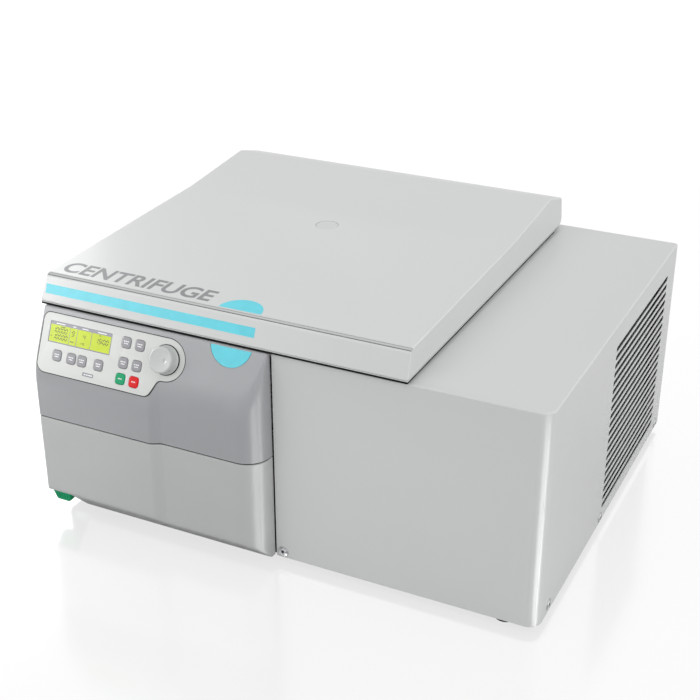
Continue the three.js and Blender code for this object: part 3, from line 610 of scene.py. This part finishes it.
def feet():
    for node in ("foot_front_left", "foot_rear_left", "foot_front_right", "foot_rear_right"):
        low, high = span(node)
        middle = (low + high) / 2
        radius = (high.x - low.x) / 2
        base = low.z
        profile = [
            (0, base), (radius - 1.2, base), (radius - 0.3, base + 0.6), (radius, base + 2.4),
            (radius - 0.2, base + 8), (radius - 1.6, base + 8.6), (radius - 1.6, base + 9.6),
            (radius - 0.8, base + 10.2),
            (radius - 1, -0.4), (radius - 1.2, 1.6), (0, 1.6),
        ]
        make(node.replace("foot", "rubber_foot"), shifted(lathe(profile), middle.x, middle.y, 0),
             RUBBER, replaces=node)


# ---- front covers ----------------------------------------------------------------------------
COVER_STEP = 7
RIDGE = (188, 206)
COVER_CORNER = 35
COVER_EDGE = 5
COVER_WALL = 2.6
COVER_BACK = -0.4
SPLIT_GAP = 0.45
TILT_ANGLE = math.radians(24.4)
TILT_FOOT = 224
BEVEL_DROP = 8
NOTCH = (48, 36.5)


def cover_plan(inset):
    """(x, y) along the covers' front in plan, from the back of the left side to the right's."""
    left, right = COVER_LOW.x + inset, COVER_HIGH.x - inset
    front = COVER_LOW.y + inset
    set_back = front + COVER_STEP
    edge = max(COVER_EDGE - inset, 1)
    corner = COVER_CORNER - inset
    points = [(left, y) for y in (-10, -17, -24, -31, -37)]
    points += arc(left + edge, front + edge, edge, 180, 270, 7)
    points += [(left + edge + (RIDGE[0] - 3 - left - edge) * i / 16, front) for i in range(1, 16)]
    steps = 26
    for i in range(steps + 1):
        t = i / steps
        rise = t * t * (3 - 2 * t)
        points.append((RIDGE[0] + (RIDGE[1] - RIDGE[0]) * t, front + COVER_STEP * rise))
    flat = right - corner - RIDGE[1]
    points += [(RIDGE[1] + flat * i / 12, set_back) for i in range(1, 12)]
    points += arc(right - corner, set_back + corner, corner, -90, 0, 24)
    return points


def smooth_max(a, b, width):
    """The larger of two heights, blended over a soft crease."""
    overlap = max(width - abs(a - b), 0) / width
    return max(a, b) + overlap * overlap * width / 4


def cover_ring(z, inset, back):
    """The covers' closed outline at height z, leaning back above and drawn in below."""
    tilt = COVER_LOW.y + (z - TILT_FOOT) * math.tan(TILT_ANGLE) + inset / math.cos(TILT_ANGLE)
    drawn_in = -(z + BEVEL_DROP) + inset * 1.4
    left, right = COVER_LOW.x + inset, COVER_HIGH.x - inset
    ring = [(left, back, z)]
    for x, y in cover_plan(inset):
        y = smooth_max(y, tilt, 9)
        y = smooth_max(y, drawn_in, 3)
        ring.append((x, min(y, back - 0.1), z))
    ring.append((right, back, z))
    return ring


def levels(low, high, step):
    count = max(int((high - low) / step), 1)
    return [low + (high - low) * i / count for i in range(count + 1)]


def cover_solid(low, high, inset, back, top_edge=0.0, bottom_edge=0.0):
    rings = []
    for i in range(4 if bottom_edge else 0):
        turn = math.radians(90 * i / 4)
        rings.append(cover_ring(low + bottom_edge * (1 - math.sin(turn)),
                                inset + bottom_edge * (1 - math.cos(math.pi / 2 - turn)), back))
    rings += [cover_ring(z, inset, back) for z in levels(low + bottom_edge, high - top_edge, 3)]
    for i in range(1, 5 if top_edge else 0):
        turn = math.radians(90 * i / 4)
        rings.append(cover_ring(high - top_edge + top_edge * math.sin(turn),
                                inset + top_edge * (1 - math.cos(turn)), back))
    return skin(rings)


ON_TILT = Matrix((
    (1, 0, 0, 0),
    (0, math.sin(TILT_ANGLE), -math.cos(TILT_ANGLE), COVER_LOW.y),
    (0, math.cos(TILT_ANGLE), math.sin(TILT_ANGLE), TILT_FOOT),
    (0, 0, 0, 1),
))
TO_TILT = ON_TILT.inverted()
ORIGIN_TO_MM = Matrix.Diagonal((1000, 1000, 1000, 1)) @ Matrix.Translation(-ORIGIN)


def on_tilt(node):
    """A node's box on the tilted face: x across, s up the slope, n out of it."""
    corners = [TO_TILT @ (ORIGIN_TO_MM @ v.co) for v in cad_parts[node].data.vertices]
    return [(min(c[k] for c in corners), max(c[k] for c in corners)) for k in range(3)]


def tilt_plate(outline, low, high):
    return moved(prism(outline, low, high), ON_TILT)


KNOB_X, KNOB_S, KNOB_N = on_tilt("control_knob")
KNOB_AT = ((KNOB_X[0] + KNOB_X[1]) / 2, (KNOB_S[0] + KNOB_S[1]) / 2)
PANEL_X, PANEL_S, PANEL_N = on_tilt("keypad_panel")
KEYPAD_GAP = 0.8
SPINDLE_HOLE = arc(*KNOB_AT, 4.2, 0, 350, 35)


def keypad_outline(margin):
    """The keypad film: a rounded oblong that swells round the knob on its right."""
    left, low, high = PANEL_X[0] - margin, PANEL_S[0] - margin, PANEL_S[1] + margin
    knob_x, knob_s = KNOB_AT
    radius = high - knob_s
    upper, lower = 10 + margin, 14 + margin
    neck = (knob_x - 27, low)
    shoulder = (knob_x - 9 + margin, knob_s - radius - 4.5)
    return (
        curve(neck, (knob_x - 20 + margin, low), (knob_x - 16 + margin, low + 7), 8)
        + curve(shoulder, (knob_x - 6 + margin, knob_s - radius), (knob_x, knob_s - radius), 8)
        + arc(knob_x, knob_s, radius, -88, 90, 40)
        + arc(left + upper, high - upper, upper, 90, 180, 12)
        + arc(left + lower, low + lower, lower, 180, 270, 12)
    )


KEY_BODIES = {
    "key_temperature": KEY_GREY, "key_brake": KEY_GREY, "key_speed": KEY_GREY, "key_time": KEY_GREY,
    "key_program": KEY_GREY, "key_radius": KEY_GREY, "key_store": KEY_GREY, "key_pulse": KEY_GREY,
    "key_start": KEY_GREEN, "key_stop": KEY_RED,
}
KEY_CORNER = 4
KEY_GAP = 0.4
ACCENT = {"x": 300.9, "s": 97.1, "radius": 30.5}
FACE_TOP = 92.3


def key_outline(node, margin):
    x, s, _ = on_tilt(node)
    return rounded((x[0] - margin, x[1] + margin), (s[0] - margin, s[1] + margin),
                   max(KEY_CORNER + margin, 1), 5)


def accent_outline(radius):
    """The part of the round accent that lies below the cover's upper edge."""
    reach = math.degrees(math.asin((FACE_TOP - ACCENT["s"]) / radius))
    return arc(ACCENT["x"], ACCENT["s"], radius, -180 - reach, reach, 40)


def front_covers():
    """The upper and lower covers, with black pieces of painted shade in their seam, round the keypad and
    under the notch.
    """
    low, high = span("front_cover_upper")
    outer = cover_solid(low.z + SPLIT_GAP, high.z, 0, COVER_BACK, 0.9, 0.6)
    hollow = cover_solid(low.z - 3, high.z - COVER_WALL, COVER_WALL, 6)
    pocket = tilt_plate(keypad_outline(KEYPAD_GAP), -1.6, 5)
    key_holes = [tilt_plate(key_outline(node, KEY_GAP), -10, 2) for node in KEY_BODIES]
    spindle = tilt_plate(SPINDLE_HOLE, -10, 2)
    accent = tilt_plate(accent_outline(ACCENT["radius"] + 0.7), -0.9, 4)
    upper = make("cover_upper", outer, COVER_DARK, replaces="front_cover_upper",
                 cuts=[hollow, pocket, together(*key_holes), spindle, accent], smooth=30)
    make("cover_accent", tilt_plate(accent_outline(ACCENT["radius"]), -0.9, -0.1), CYAN)
    # A black band behind the split between the covers: painted shade in the seam.
    seam_shade = cover_solid(low.z - 3, low.z + 3, 1.6, COVER_BACK)
    make("cover_seam_shade", seam_shade, SHADE_BLACK, cuts=[cover_solid(low.z - 5, low.z + 5, COVER_WALL + 1, 6)])
    lip = cover_solid(high.z - 1.5, high.z + 0.5, 0.9, COVER_BACK)
    make("cover_lip", lip, COVER_DARK, cuts=[cover_solid(high.z - 3, high.z + 3, 2.4, 0)])
    # A black sheet under the keypad film's edge: painted shade in the gap round the film.
    gap_shade = tilt_plate(keypad_outline(KEYPAD_GAP - 0.06), -1.58, -0.4)
    make("keypad_gap_shade", gap_shade, SHADE_BLACK, cuts=[together(*key_holes), spindle])

    low, high = span("front_cover_lower")
    outer = cover_solid(low.z, high.z - SPLIT_GAP, 0, COVER_BACK, 1.2)
    hollow = cover_solid(low.z - 6, high.z + 4, COVER_WALL, 6)
    notch = block((-10, NOTCH[0]), (-90, -0.5), (-10, NOTCH[1]))
    pull = centre("release_pull")
    lower = make("cover_lower", outer, COVER_LIGHT, replaces="front_cover_lower",
                 cuts=[hollow, notch], smooth=30)
    # A black plate under the notch's roof: painted shade above the pull.
    notch_shade_plate = block((COVER_LOW.x + 1, NOTCH[0] - 0.5), (-43, -1), (NOTCH[1] + 0.2, NOTCH[1] + 2.4))
    hole = shifted(lathe([(0, -9), (4, -9), (4, 9), (0, 9)], 32), pull.x, pull.y, NOTCH[1])
    make("notch_roof", notch_shade_plate, SHADE_BLACK, cuts=[hole])
    return [upper, lower]


def release_pull():
    low, high = span("release_pull")
    x, y = (low.x + high.x) / 2, (low.y + high.y) / 2
    top = NOTCH[1] - 0.5
    half = ((high.x - low.x) / 2, (high.y - low.y) / 2)

    def section(z, across_share, deep_share):
        outline = rounded((x - half[0] * across_share, x + half[0] * across_share),
                          (y - half[1] * deep_share, y + half[1] * deep_share), 2.2)
        return [(px, py, z) for px, py in outline]

    grip = skin([section(low.z, 0.58, 0.6), section(low.z + 0.6, 0.63, 0.68), section(low.z + 3, 0.69, 0.75),
                 section(top - 2, 0.97, 0.97), section(top - 0.6, 1, 1), section(top, 0.95, 0.94)])
    ribs = [block((x - 9 + 4.5 * i - 0.5, x - 9 + 4.5 * i + 0.5), (low.y - 2, low.y + 3.2),
                  (low.z + 4, low.z + 13)) for i in range(5)]
    stem = shifted(lathe([(0, top - 3), (3, top - 3), (3, high.z), (0, high.z)], 32), x, y, 0)
    make("emergency_pull", grip, KEY_GREEN, "release_pull", "release_pull",
         joins=[stem], cuts=[together(*ribs)])


# ---- control panel ---------------------------------------------------------------------------
# The lit bars of the seven-segment figures in use.
SEGMENTS = {"0": "abcdef", "1": "bc", "4": "fgbc", "5": "afgcd", "9": "abcdfg", "-": "g"}


def figure(character, x, s, height, low, high):
    """One leaning seven-segment figure whose lower left corner is at (x, s)."""
    width, bar, lean = height * 0.5, height * 0.17, 0.14
    half = height / 2
    bars = {
        "a": (0, height, width, height), "g": (0, half, width, half), "d": (0, 0, width, 0),
        "f": (0, half, 0, height), "b": (width, half, width, height),
        "e": (0, 0, 0, half), "c": (width, 0, width, half),
    }
    plates = []
    for name in SEGMENTS[character]:
        x0, s0, x1, s1 = bars[name]
        along = bar * 0.7
        if s0 == s1:
            corners = [(x0 + along, s0 - bar / 2), (x1 - along, s0 - bar / 2),
                       (x1 - along, s0 + bar / 2), (x0 + along, s0 + bar / 2)]
        else:
            corners = [(x0 - bar / 2, s0 + along), (x0 + bar / 2, s0 + along),
                       (x0 + bar / 2, s1 - along), (x0 - bar / 2, s1 - along)]
        outline = [(x + cx + lean * cs, s + cs) for cx, cs in corners]
        plates.append(tilt_plate(outline, low, high))
    return plates


def figures(text, x, s, height, low, high):
    plates = []
    for character in text:
        if character == ":":
            for lift in (0.3, 0.7):
                dot = height * 0.1
                plates.append(tilt_plate(
                    [(x + a * dot, s + height * lift + b * dot) for a, b in
                     ((-1, -1), (1, -1), (1, 1), (-1, 1))], low, high))
            x += height * 0.3
        else:
            plates += figure(character, x, s, height, low, high)
            x += height * 0.74
    return plates


def display():
    (x0, x1), (s0, s1), (n0, _) = on_tilt("display_window")
    width = x1 - x0
    border, strip = 1.1, 4.4
    make("display_bezel", tilt_plate(rounded((x0, x1), (s0, s1), 0.8, 3), n0, -0.35), BORDER_INK,
         replaces="display_window")
    edges = [0, 0.33, 0.45, 0.68, 1]
    fields = []
    for a, b in zip(edges, edges[1:]):
        left = x0 + width * a + (border if a == 0 else border * 0.4)
        right = x0 + width * b - (border if b == 1 else border * 0.4)
        fields.append(tilt_plate(rounded((left, right), (s0 + border, s1 - strip), 0.4, 2), -0.4, -0.2))
    make("display_fields", together(*fields), LCD)
    marks = []
    for a, b in zip(edges, edges[1:]):
        middle = x0 + width * (a + b) / 2
        half = width * (b - a) * 0.22
        marks.append(tilt_plate(rounded((middle - half, middle + half), (s1 - 2.9, s1 - 1.7), 0.4, 2),
                                -0.4, -0.22))
    make("display_marks", together(*marks), LEGEND_INK)
    low, high = -0.25, -0.1
    upper, lower = s0 + 14.2, s0 + 5.2
    readings = [
        ("10000", 5.5, upper, 6.6), ("-10000", 1.8, lower, 6.6), ("9", 36.5, upper - 1, 7),
        ("4", 55.5, upper - 1.5, 6.2), ("-4", 52, lower - 1.5, 4.6), ("15:00", 76, upper - 2.5, 6.6),
    ]
    lit = [plate for text, x, s, tall in readings for plate in figures(text, x0 + x, s, tall, low, high)]
    notes = [(x0 + 18, s1 - strip - 2.2, 7), (x0 + 35.5, lower, 6), (x0 + 81, s1 - strip - 2.2, 3)]
    for x, s, length in notes:
        lit.append(tilt_plate([(x, s), (x + length, s), (x + length, s + 1), (x, s + 1)], low, high))
    make("display_figures", together(*lit), DIGIT_INK)


def keypad():
    (x0, x1), (s0, s1), _ = on_tilt("display_window")
    gap = 0.35
    film = cushion(lambda inset: keypad_outline(-inset - 0.4), PANEL_N[0], PANEL_N[1], 0.35, 3)
    window = tilt_plate(rounded((x0 - gap, x1 + gap), (s0 - gap, s1 + gap), 1, 4), -5, 5)
    holes = [tilt_plate(key_outline(node, KEY_GAP), -5, 5) for node in KEY_BODIES]
    spindle = tilt_plate(SPINDLE_HOLE, -5, 5)
    make("keypad_film", moved(film, ON_TILT), FILM, replaces="keypad_panel",
         cuts=[window, together(*holes), spindle], smooth=30)
    pill_x, pill_s = 93, 13.6
    pill = rounded((pill_x - 9, pill_x + 9), (pill_s - 2.6, pill_s + 2.6), 1, 4)
    make("keypad_pill", tilt_plate(pill, -0.02, 0.1), KEY_GREY)
    dashes = [
        tilt_plate(rounded((pill_x + x - 1.5, pill_x + x + 1.5), (pill_s - 0.7, pill_s + 0.7), 0.4, 2),
                   0.05, 0.16) for x in (-5, -1.2, 2.6, 5.6)]
    make("keypad_pill_dashes", together(*dashes), LEGEND_INK)
    for node, material in KEY_BODIES.items():
        x, s, n = on_tilt(node)
        middle = ((x[0] + x[1]) / 2, (s[0] + s[1]) / 2)
        top = n[1]
        crown = [(n[0], 0), (top - 0.9, 0), (top - 0.5, 0.12), (top - 0.2, 0.4), (top - 0.05, 0.9),
                 (top, 1.8)]
        cap = skin([[(px, ps, level) for px, ps in key_outline(node, -inset)] for level, inset in crown])
        make(node + "_cap", moved(cap, ON_TILT), material, node, node, smooth=50)
        rows = [(0.2, 3.0)] if node in ("key_start", "key_stop") else [(1.6, 4.0), (-1.4, 3.0)]
        marks = []
        for lift, half in rows:
            for i in range(3):
                start = middle[0] - half + i * half * 0.7
                line = middle[1] + lift
                mark = rounded((start, start + half * 0.52), (line - 0.7, line + 0.7), 0.3, 2)
                marks.append(tilt_plate(mark, top - 0.05, top + 0.06))
        make(node + "_legend", together(*marks), LEGEND_INK, node)


def knob():
    """The turned knob with its finger dimple, and the dark ring under it."""
    x, s = KNOB_AT
    radius = (KNOB_X[1] - KNOB_X[0]) / 2
    low, top = KNOB_N
    face = radius - 2.3
    profile = [
        (0, low), (3, low), (3, 0.6), (radius - 0.3, 0.6), (radius, 0.9), (radius, 2.0),
        (radius - 0.4, 2.6), (radius - 1.0, 2.9), (radius - 1.5, 3.6), (radius - 1.7, 8),
        (face + 0.5, top - 2.2), (face + 0.2, top - 1.0), (face - 0.3, top - 0.35), (face - 1.2, top),
        (face - 2.0, top - 0.05), (face * 0.6, top - 0.35), (face * 0.3, top - 0.45), (0, top - 0.5),
    ]
    dimple_radius = 5.2
    dimple = [(0, -dimple_radius)] + [
        (dimple_radius * math.cos(math.radians(a)), dimple_radius * math.sin(math.radians(a)))
        for a in range(-80, 81, 10)] + [(0, dimple_radius)]
    body = moved(shifted(lathe(profile, 96), x, s, 0), ON_TILT)
    bite = moved(shifted(lathe(dimple, 40), x + 6.5, s, top + dimple_radius - 1.5), ON_TILT)
    make("turn_knob", body, KNOB_GREY, "knob", "control_knob", cuts=[bite], smooth=35)
    shadow_ring = lathe([(radius - 3, 0.06), (radius + 1.3, 0.06), (radius + 1.3, 0.16), (radius - 3, 0.16),
                         (radius - 3, 0.06)], 72)
    make("knob_shadow_ring", moved(shifted(shadow_ring, x, s, 0), ON_TILT), SHADE_BLACK)


# ---- lid -------------------------------------------------------------------------------------
LID_LOW, LID_HIGH = span("lid_shell")
LID_FLARE = 2.6
LID_SKIN = 2.6
LID_CROWN = 36
TRIM = [(9.4, 347.5), (15.8, 350.6)]
LID_BROW = (9, 347.6)
LID_FRONT, LID_MIDDLE, LID_RIDGE = (16, 351), (379, 359), 538


def lid_profile(inset):
    """The lid seen from its side: (y, z) from the lower front edge round to the lower rear."""
    bottom = LID_LOW.z - (5 if inset else 0)
    front = LID_LOW.y - (2.1 if inset else 0)
    rear, top = LID_HIGH.y - inset, LID_HIGH.z - inset
    return [
        (front + inset * 1.1, bottom), (LID_BROW[0] + inset * 1.1, LID_BROW[1] - inset * 0.4),
        (LID_FRONT[0] + inset * 0.4, LID_FRONT[1] - inset), (LID_MIDDLE[0], LID_MIDDLE[1] - inset),
        (LID_RIDGE, top), (rear, 355.8 - inset * 0.8), (rear, 322.5), (rear - 6.5, bottom),
    ]


def lid_solid(inset):
    """The profile drawn across the lid, both sides leaning in towards the top."""
    points, faces = across(lid_profile(inset), 0, 1)
    left, right = LID_LOW.x + LID_FLARE, LID_HIGH.x - LID_FLARE
    leaning = []
    for side, y, z in points:
        rise = min(max((z - LID_LOW.z) / LID_CROWN, 0), 1)
        lean = LID_FLARE * (1 - rise) - inset
        leaning.append((right + lean if side else left - lean, y, z))
    return leaning, faces


LID_RISE = (LID_MIDDLE[1] - LID_FRONT[1], LID_MIDDLE[0] - LID_FRONT[0])


def lid_top(y):
    """Height of the lid's gently rising top."""
    return LID_FRONT[1] + (y - LID_FRONT[0]) * LID_RISE[0] / LID_RISE[1]


def on_lid(outline):
    """A foil on the lid's top, from an outline in x and y."""
    return skin([[(x, y, lid_top(y) + lift) for x, y in outline] for lift in (-0.15, 0.12)])


def on_lid_front(x, z):
    """A foil on the lid's front face."""
    slope = (LID_BROW[0] - LID_LOW.y) / (LID_BROW[1] - LID_LOW.z)
    lean = math.hypot(1, slope)
    loops = []
    for lift in (-0.3, 0.12):
        loop = []
        for px, pz in ((x[0], z[0]), (x[1], z[0]), (x[1], z[1]), (x[0], z[1])):
            y = LID_LOW.y + (pz - LID_LOW.z) * slope
            loop.append((px, y - lift / lean, pz + lift * slope / lean))
        loops.append(loop)
    return skin(loops)


def lid():
    """The lid's painted skin, its trim strip and groove in painted shade, its cap, its colours, and a black
    band under its rim.
    """
    port = centre("lid_port_cap")
    radius = span("lid_port_cap")[1].x - port.x
    hole = shifted(lathe([(0, 330), (radius + 0.4, 330), (radius + 0.4, 380), (0, 380)]), port.x, port.y, 0)
    notches = []
    for node in ("hinge_bracket_left", "hinge_bracket_right"):
        low, high = span(node)
        notches.append(block((low.x - 3, high.x + 3), (576, 600), (LID_LOW.z - 5, high.z - 3)))
    (y0, z0), (y1, z1) = TRIM

    def on_bevel(start, end, low, high):
        """A bar along the bevel: shares of its width, then heights above its face."""
        run = Vector((y1 - y0, z1 - z0))
        out = Vector((z0 - z1, y1 - y0)).normalized()
        corners = [(start, low), (start, high), (end, high), (end, low)]
        return [tuple(Vector((y0, z0)) + run * share + out * height) for share, height in corners]

    channel = across(on_bevel(0.12, 0.84, -1, 3), LID_LOW.x - 5, LID_HIGH.x + 5)
    make("lid_skin", lid_solid(0), LID_PAINT, "lid", "lid_shell", edge=2.6,
         cuts=[channel, lid_solid(LID_SKIN), hole, together(*notches)], smooth=28)
    wide = (LID_LOW.x + LID_FLARE + 0.9, LID_HIGH.x - LID_FLARE - 0.9)
    strip = across(on_bevel(0.34, 0.78, -1.4, 0.1), *wide)
    # The strip is in a darker copy of the lid's paint: painted shade on the bevel.
    make("lid_trim_strip", strip, TRIM_SHADED_PAINT, "lid", late_edge=0.3)
    # A dark grey bar on the channel floor: painted shade in the groove.
    make("lid_groove_shade", across(on_bevel(0.05, 0.9, -1.8, -0.6), *wide), GROOVE_SHADE_GREY, "lid")

    profile = [(0, -6), (radius - 0.5, -6), (radius, -5.4), (radius, -0.9), (radius - 0.25, -0.3),
               (radius - 0.9, 0), (radius - 3, 0.15), (radius - 4, 0.05), (radius * 0.5, 0.2), (0, 0.25)]
    lean = Matrix.Rotation(math.atan2(*LID_RISE), 4, "X")
    place = Matrix.Translation((port.x, port.y, lid_top(port.y))) @ lean
    make("port_plug", moved(lathe(profile, 72), place), LID_PAINT, "lid", "lid_port_cap")

    accent = [(ACCENT["x"] + 31 * math.cos(a), 17.4 + 31 * math.sin(a))
              for a in [math.radians(4.5 * i) for i in range(41)]]
    make("lid_accent", on_lid(accent), CYAN, "lid")
    make("lid_stripe", on_lid_front((4, 331.5), (325.5, 337.5)), CYAN, "lid")
    lettering()
    rim = 1.2
    wide = (LID_LOW.x + rim, LID_HIGH.x - rim)
    hollow = block((wide[0] + 5, wide[1] - 5), (LID_LOW.y + rim + 5, 570), (300, 320))
    # A black band in the rubber finish under the lid's rim, which makes the dark line under the lid.
    make("lid_rim_black_band", block(wide, (LID_LOW.y + rim, 560), (LID_LOW.z - 4.4, LID_LOW.z - 0.6)), RUBBER,
         "lid", edge=0.6, cuts=[hollow])
    frame_x = (LID_LOW.x + 0.3, LID_HIGH.x - 0.3)
    make("lid_rim_frame", block(frame_x, (LID_LOW.y + 0.3, 560), (LID_LOW.z - 0.9, LID_LOW.z - 0.05)),
         LID_PAINT, "lid", edge=0.3, cuts=[hollow])


def lettering():
    """The kind of machine, in plain capitals, on the front left of the lid."""
    text = bpy.data.curves.new("lettering", "FONT")
    text.body = "CENTRIFUGE"
    text.size = 0.05
    text.extrude = 0.0004
    text.offset = 0.0011
    letters = bpy.data.objects.new("lid_lettering", text)
    bpy.context.scene.collection.objects.link(letters)
    graph = bpy.context.evaluated_depsgraph_get()
    flat = bpy.data.meshes.new_from_object(letters.evaluated_get(graph))
    bpy.data.objects.remove(letters)
    wide = max(v.co.x for v in flat.vertices)
    tall = max(v.co.y for v in flat.vertices)
    left, right, front, back = 12, 250, 24, 55
    points = []
    for v in flat.vertices:
        x = left + (right - left) * v.co.x / wide
        y = front + (back - front) * v.co.y / tall
        points.append((x, y, lid_top(y) + (0.12 if v.co.z > 0 else -0.15)))
    obj = mesh_object("lid_lettering", (points, [tuple(p.vertices) for p in flat.polygons]), 1e-7)
    obj.data.materials.append(GREY_INK)
    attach(obj, "lid")


# ---- chamber and rotor -----------------------------------------------------------------------
def chamber():
    """The stainless bowl and the rubber seal round its mouth."""
    low, high = span("chamber_bowl")
    axis = (low + high) / 2
    radius = (high.x - low.x) / 2 - 16
    wall, corner = 1.5, 30
    floor = low.z + wall
    lip = high.z
    inner = [(radius - corner + corner * math.cos(math.radians(a)),
              floor + corner + 3 - corner * math.sin(math.radians(a))) for a in range(0, 91, 10)]
    outer = [(radius - corner + (corner + wall) * math.cos(math.radians(a)),
              floor + corner + 3 - (corner + wall) * math.sin(math.radians(a))) for a in range(90, -1, -10)]
    edge = radius + 16
    profile = ([(edge, lip - wall), (edge, lip - 0.3), (edge - 0.5, lip), (radius + 2.5, lip),
                (radius + 0.8, lip - 0.7), (radius, lip - 2.5)] + inner
               + [(60, floor + 0.8), (58, floor + 2.2), (52, floor + 2.2), (50, floor + 0.6), (24, floor),
                  (24, floor - wall)] + outer + [(radius + wall, lip - wall), (edge, lip - wall)])
    make("bowl", shifted(lathe(profile, 128), axis.x, axis.y, 0), STAINLESS,
         replaces="chamber_bowl", smooth=50)
    low, high = span("chamber_seal")
    outer_radius = (high.x - low.x) / 2
    inner_radius = outer_radius - 10
    base, top = low.z, high.z
    profile = [
        (inner_radius, base), (outer_radius, base), (outer_radius, top - 2),
        (outer_radius - 0.6, top - 0.8), (outer_radius - 2, top - 0.1), (outer_radius - 3.4, top - 0.6),
        (outer_radius - 4.2, top - 1.6), (outer_radius - 5.8, top - 1.6),
        (inner_radius + 3.4, top - 0.6), (inner_radius + 2, top), (inner_radius + 0.6, top - 0.8),
        (inner_radius, top - 2), (inner_radius, base),
    ]
    make("lid_seal", shifted(lathe(profile, 128), axis.x, axis.y, 0), RUBBER,
         replaces="chamber_seal")


BUCKET_WALL = 3
PIVOT_DROP = 18
BORE_RADIUS = 6.5


def rotor():
    """Four swing-out buckets with bored ears, and the nut that holds the rotor."""
    for i in range(1, 5):
        node = f"bucket_{i}"
        low, high = span(node)
        middle = (low + high) / 2
        sides = (high.x - low.x, high.y - low.y)
        turn = 0 if sides[1] > sides[0] else 90
        half_length, radius = max(sides) / 2, min(sides) / 2
        base, brim = low.z, high.z
        wall, inner = BUCKET_WALL, radius - BUCKET_WALL
        profile = [
            (0, base), (radius - 8, base), (radius - 4, base + 0.8), (radius - 0.8, base + 5),
            (radius, base + 9), (radius, base + 22), (radius - 0.5, base + 22.5),
            (radius - 0.5, base + 24), (radius, base + 24.5), (radius, brim - 0.8), (radius - 0.8, brim),
            (inner + 0.6, brim), (inner, brim - 0.8), (inner, base + 9), (inner - 1.4, base + 5),
            (inner - 4, base + wall + 0.4), (inner - 8, base + wall), (0, base + wall),
        ]
        inside = shifted(lathe([(0, base + 9), (inner, base + 9), (inner, brim + 5), (0, brim + 5)], 48),
                         middle.x, middle.y, 0)
        spin = Matrix.Translation((middle.x, middle.y, 0)) @ Matrix.Rotation(math.radians(turn), 4, "Z")
        at_pivot = spin @ Matrix.Translation((0, 0, brim - PIVOT_DROP))
        section = rounded((-11, 11), (-12, 13), 3, 4)
        ears = [skin([[(x, y, z) for x, z in section] for y in ends])
                for ends in ((-half_length, -30), (30, half_length))]
        bore = lathe([(0, -60), (BORE_RADIUS, -60), (BORE_RADIUS, -37.9), (0, -37.9)], 32)
        bores = [moved(bore, at_pivot @ Matrix.Rotation(math.radians(a), 4, "X")) for a in (90, -90)]
        make(f"swing_bucket_{i}", moved(lathe(profile, 72), spin), ALUMINIUM, node,
             node, joins=[moved(ear, at_pivot) for ear in ears], cuts=[inside, together(*bores)],
             smooth=35)
    low, high = span("rotor_nut")
    axis = (low + high) / 2
    base, top = low.z, high.z
    profile = [(0, base), (16.6, base), (17, base + 0.5), (17, base + 5.4), (16.4, base + 6),
               (12.6, base + 7.6), (12, base + 8.4), (12, base + 19), (11, base + 20.4), (9, top), (0, top)]
    flutes = [shifted(lathe([(0, base + 7.5), (2.4, base + 7.5), (2.4, top + 4), (0, top + 4)], 16),
                      13.2 * math.cos(math.radians(a)), 13.2 * math.sin(math.radians(a)), 0)
              for a in range(0, 360, 45)]
    make("rotor_cap_nut", shifted(lathe(profile, 72), axis.x, axis.y, 0), SCREW_STEEL, "rotor",
         "rotor_nut", cuts=[shifted(together(*flutes), axis.x, axis.y, 0)], smooth=30)


# ---- CAD nodes that stay, with rounded edges -------------------------------------------------
def dress(node, material, edge):
    """Welds a carried-over node, rounds its edges and gives it its finish."""
    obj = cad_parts[node]
    weld = obj.modifiers.new("weld", "WELD")
    weld.merge_threshold = 0.00002
    round_edges(obj, edge, 2, 32)
    corners = obj.modifiers.new("smooth", "WEIGHTED_NORMAL")
    corners.keep_sharp = True
    obj.data.shade_smooth()
    obj.data.materials.clear()
    obj.data.materials.append(material)


DRESSED = {
    "rear_panel": (HOUSING_PAINT, 0.4), "power_inlet": (BLACK_PLASTIC, 0.5), "mains_switch": (KEY_RED, 0.5),
    "base_pan": (DARK_STEEL, 0.5), "chamber_deck": (COVER_LIGHT, 0.6), "control_board": (BOARD_GREEN, 0.3),
    "lid_liner": (BLACK_PLASTIC, 0.8), "lid_striker": (SCREW_STEEL, 0.8), "lid_lock": (BLACK_PLASTIC, 0.8),
    "lock_hook": (SCREW_STEEL, 0.5), "hinge_bracket_left": (DARK_STEEL, 0.6),
    "hinge_bracket_right": (DARK_STEEL, 0.6), "hinge_arm_left": (DARK_STEEL, 0.6),
    "hinge_arm_right": (DARK_STEEL, 0.6), "hinge_rod": (SCREW_STEEL, 0.5),
    "motor_damper_1": (RUBBER, 0.6), "motor_damper_2": (RUBBER, 0.6), "motor_damper_3": (RUBBER, 0.6),
    "motor_plate": (DARK_STEEL, 0.6), "drive_motor": (DARK_STEEL, 0.8), "drive_shaft": (SCREW_STEEL, 0.4),
    "rotor_cross": (ALUMINIUM, 1.2), "compressor": (BLACK_PLASTIC, 1.5), "condenser": (FIN_METAL, 0.3),
    "fan_shroud": (BLACK_PLASTIC, 0.6), "condenser_fan": (BLACK_PLASTIC, 0.5),
}


set_camera()
set_floor()
set_light()
shell = housing()
screws()
feet()
covers = front_covers()
release_pull()
display()
keypad()
knob()
lid()
chamber()
rotor()
housing_foot = (HOUSING_HIGH.x - 6, 6, 0)
floor_fan("housing_streak", housing_foot, 82, 8, 0.22, [shell])
floor_fan("housing_glow", housing_foot, 58, 5, 0.5, [shell])
cover_foot = (COVER_HIGH.x - 12, COVER_LOW.y + 19, 0)
floor_fan("cover_streak", cover_foot, 85, 6, 0.22, covers)
floor_fan("cover_glow", cover_foot, 58, 4, 0.5, covers)
for node, (material, edge) in DRESSED.items():
    dress(node, material, edge)
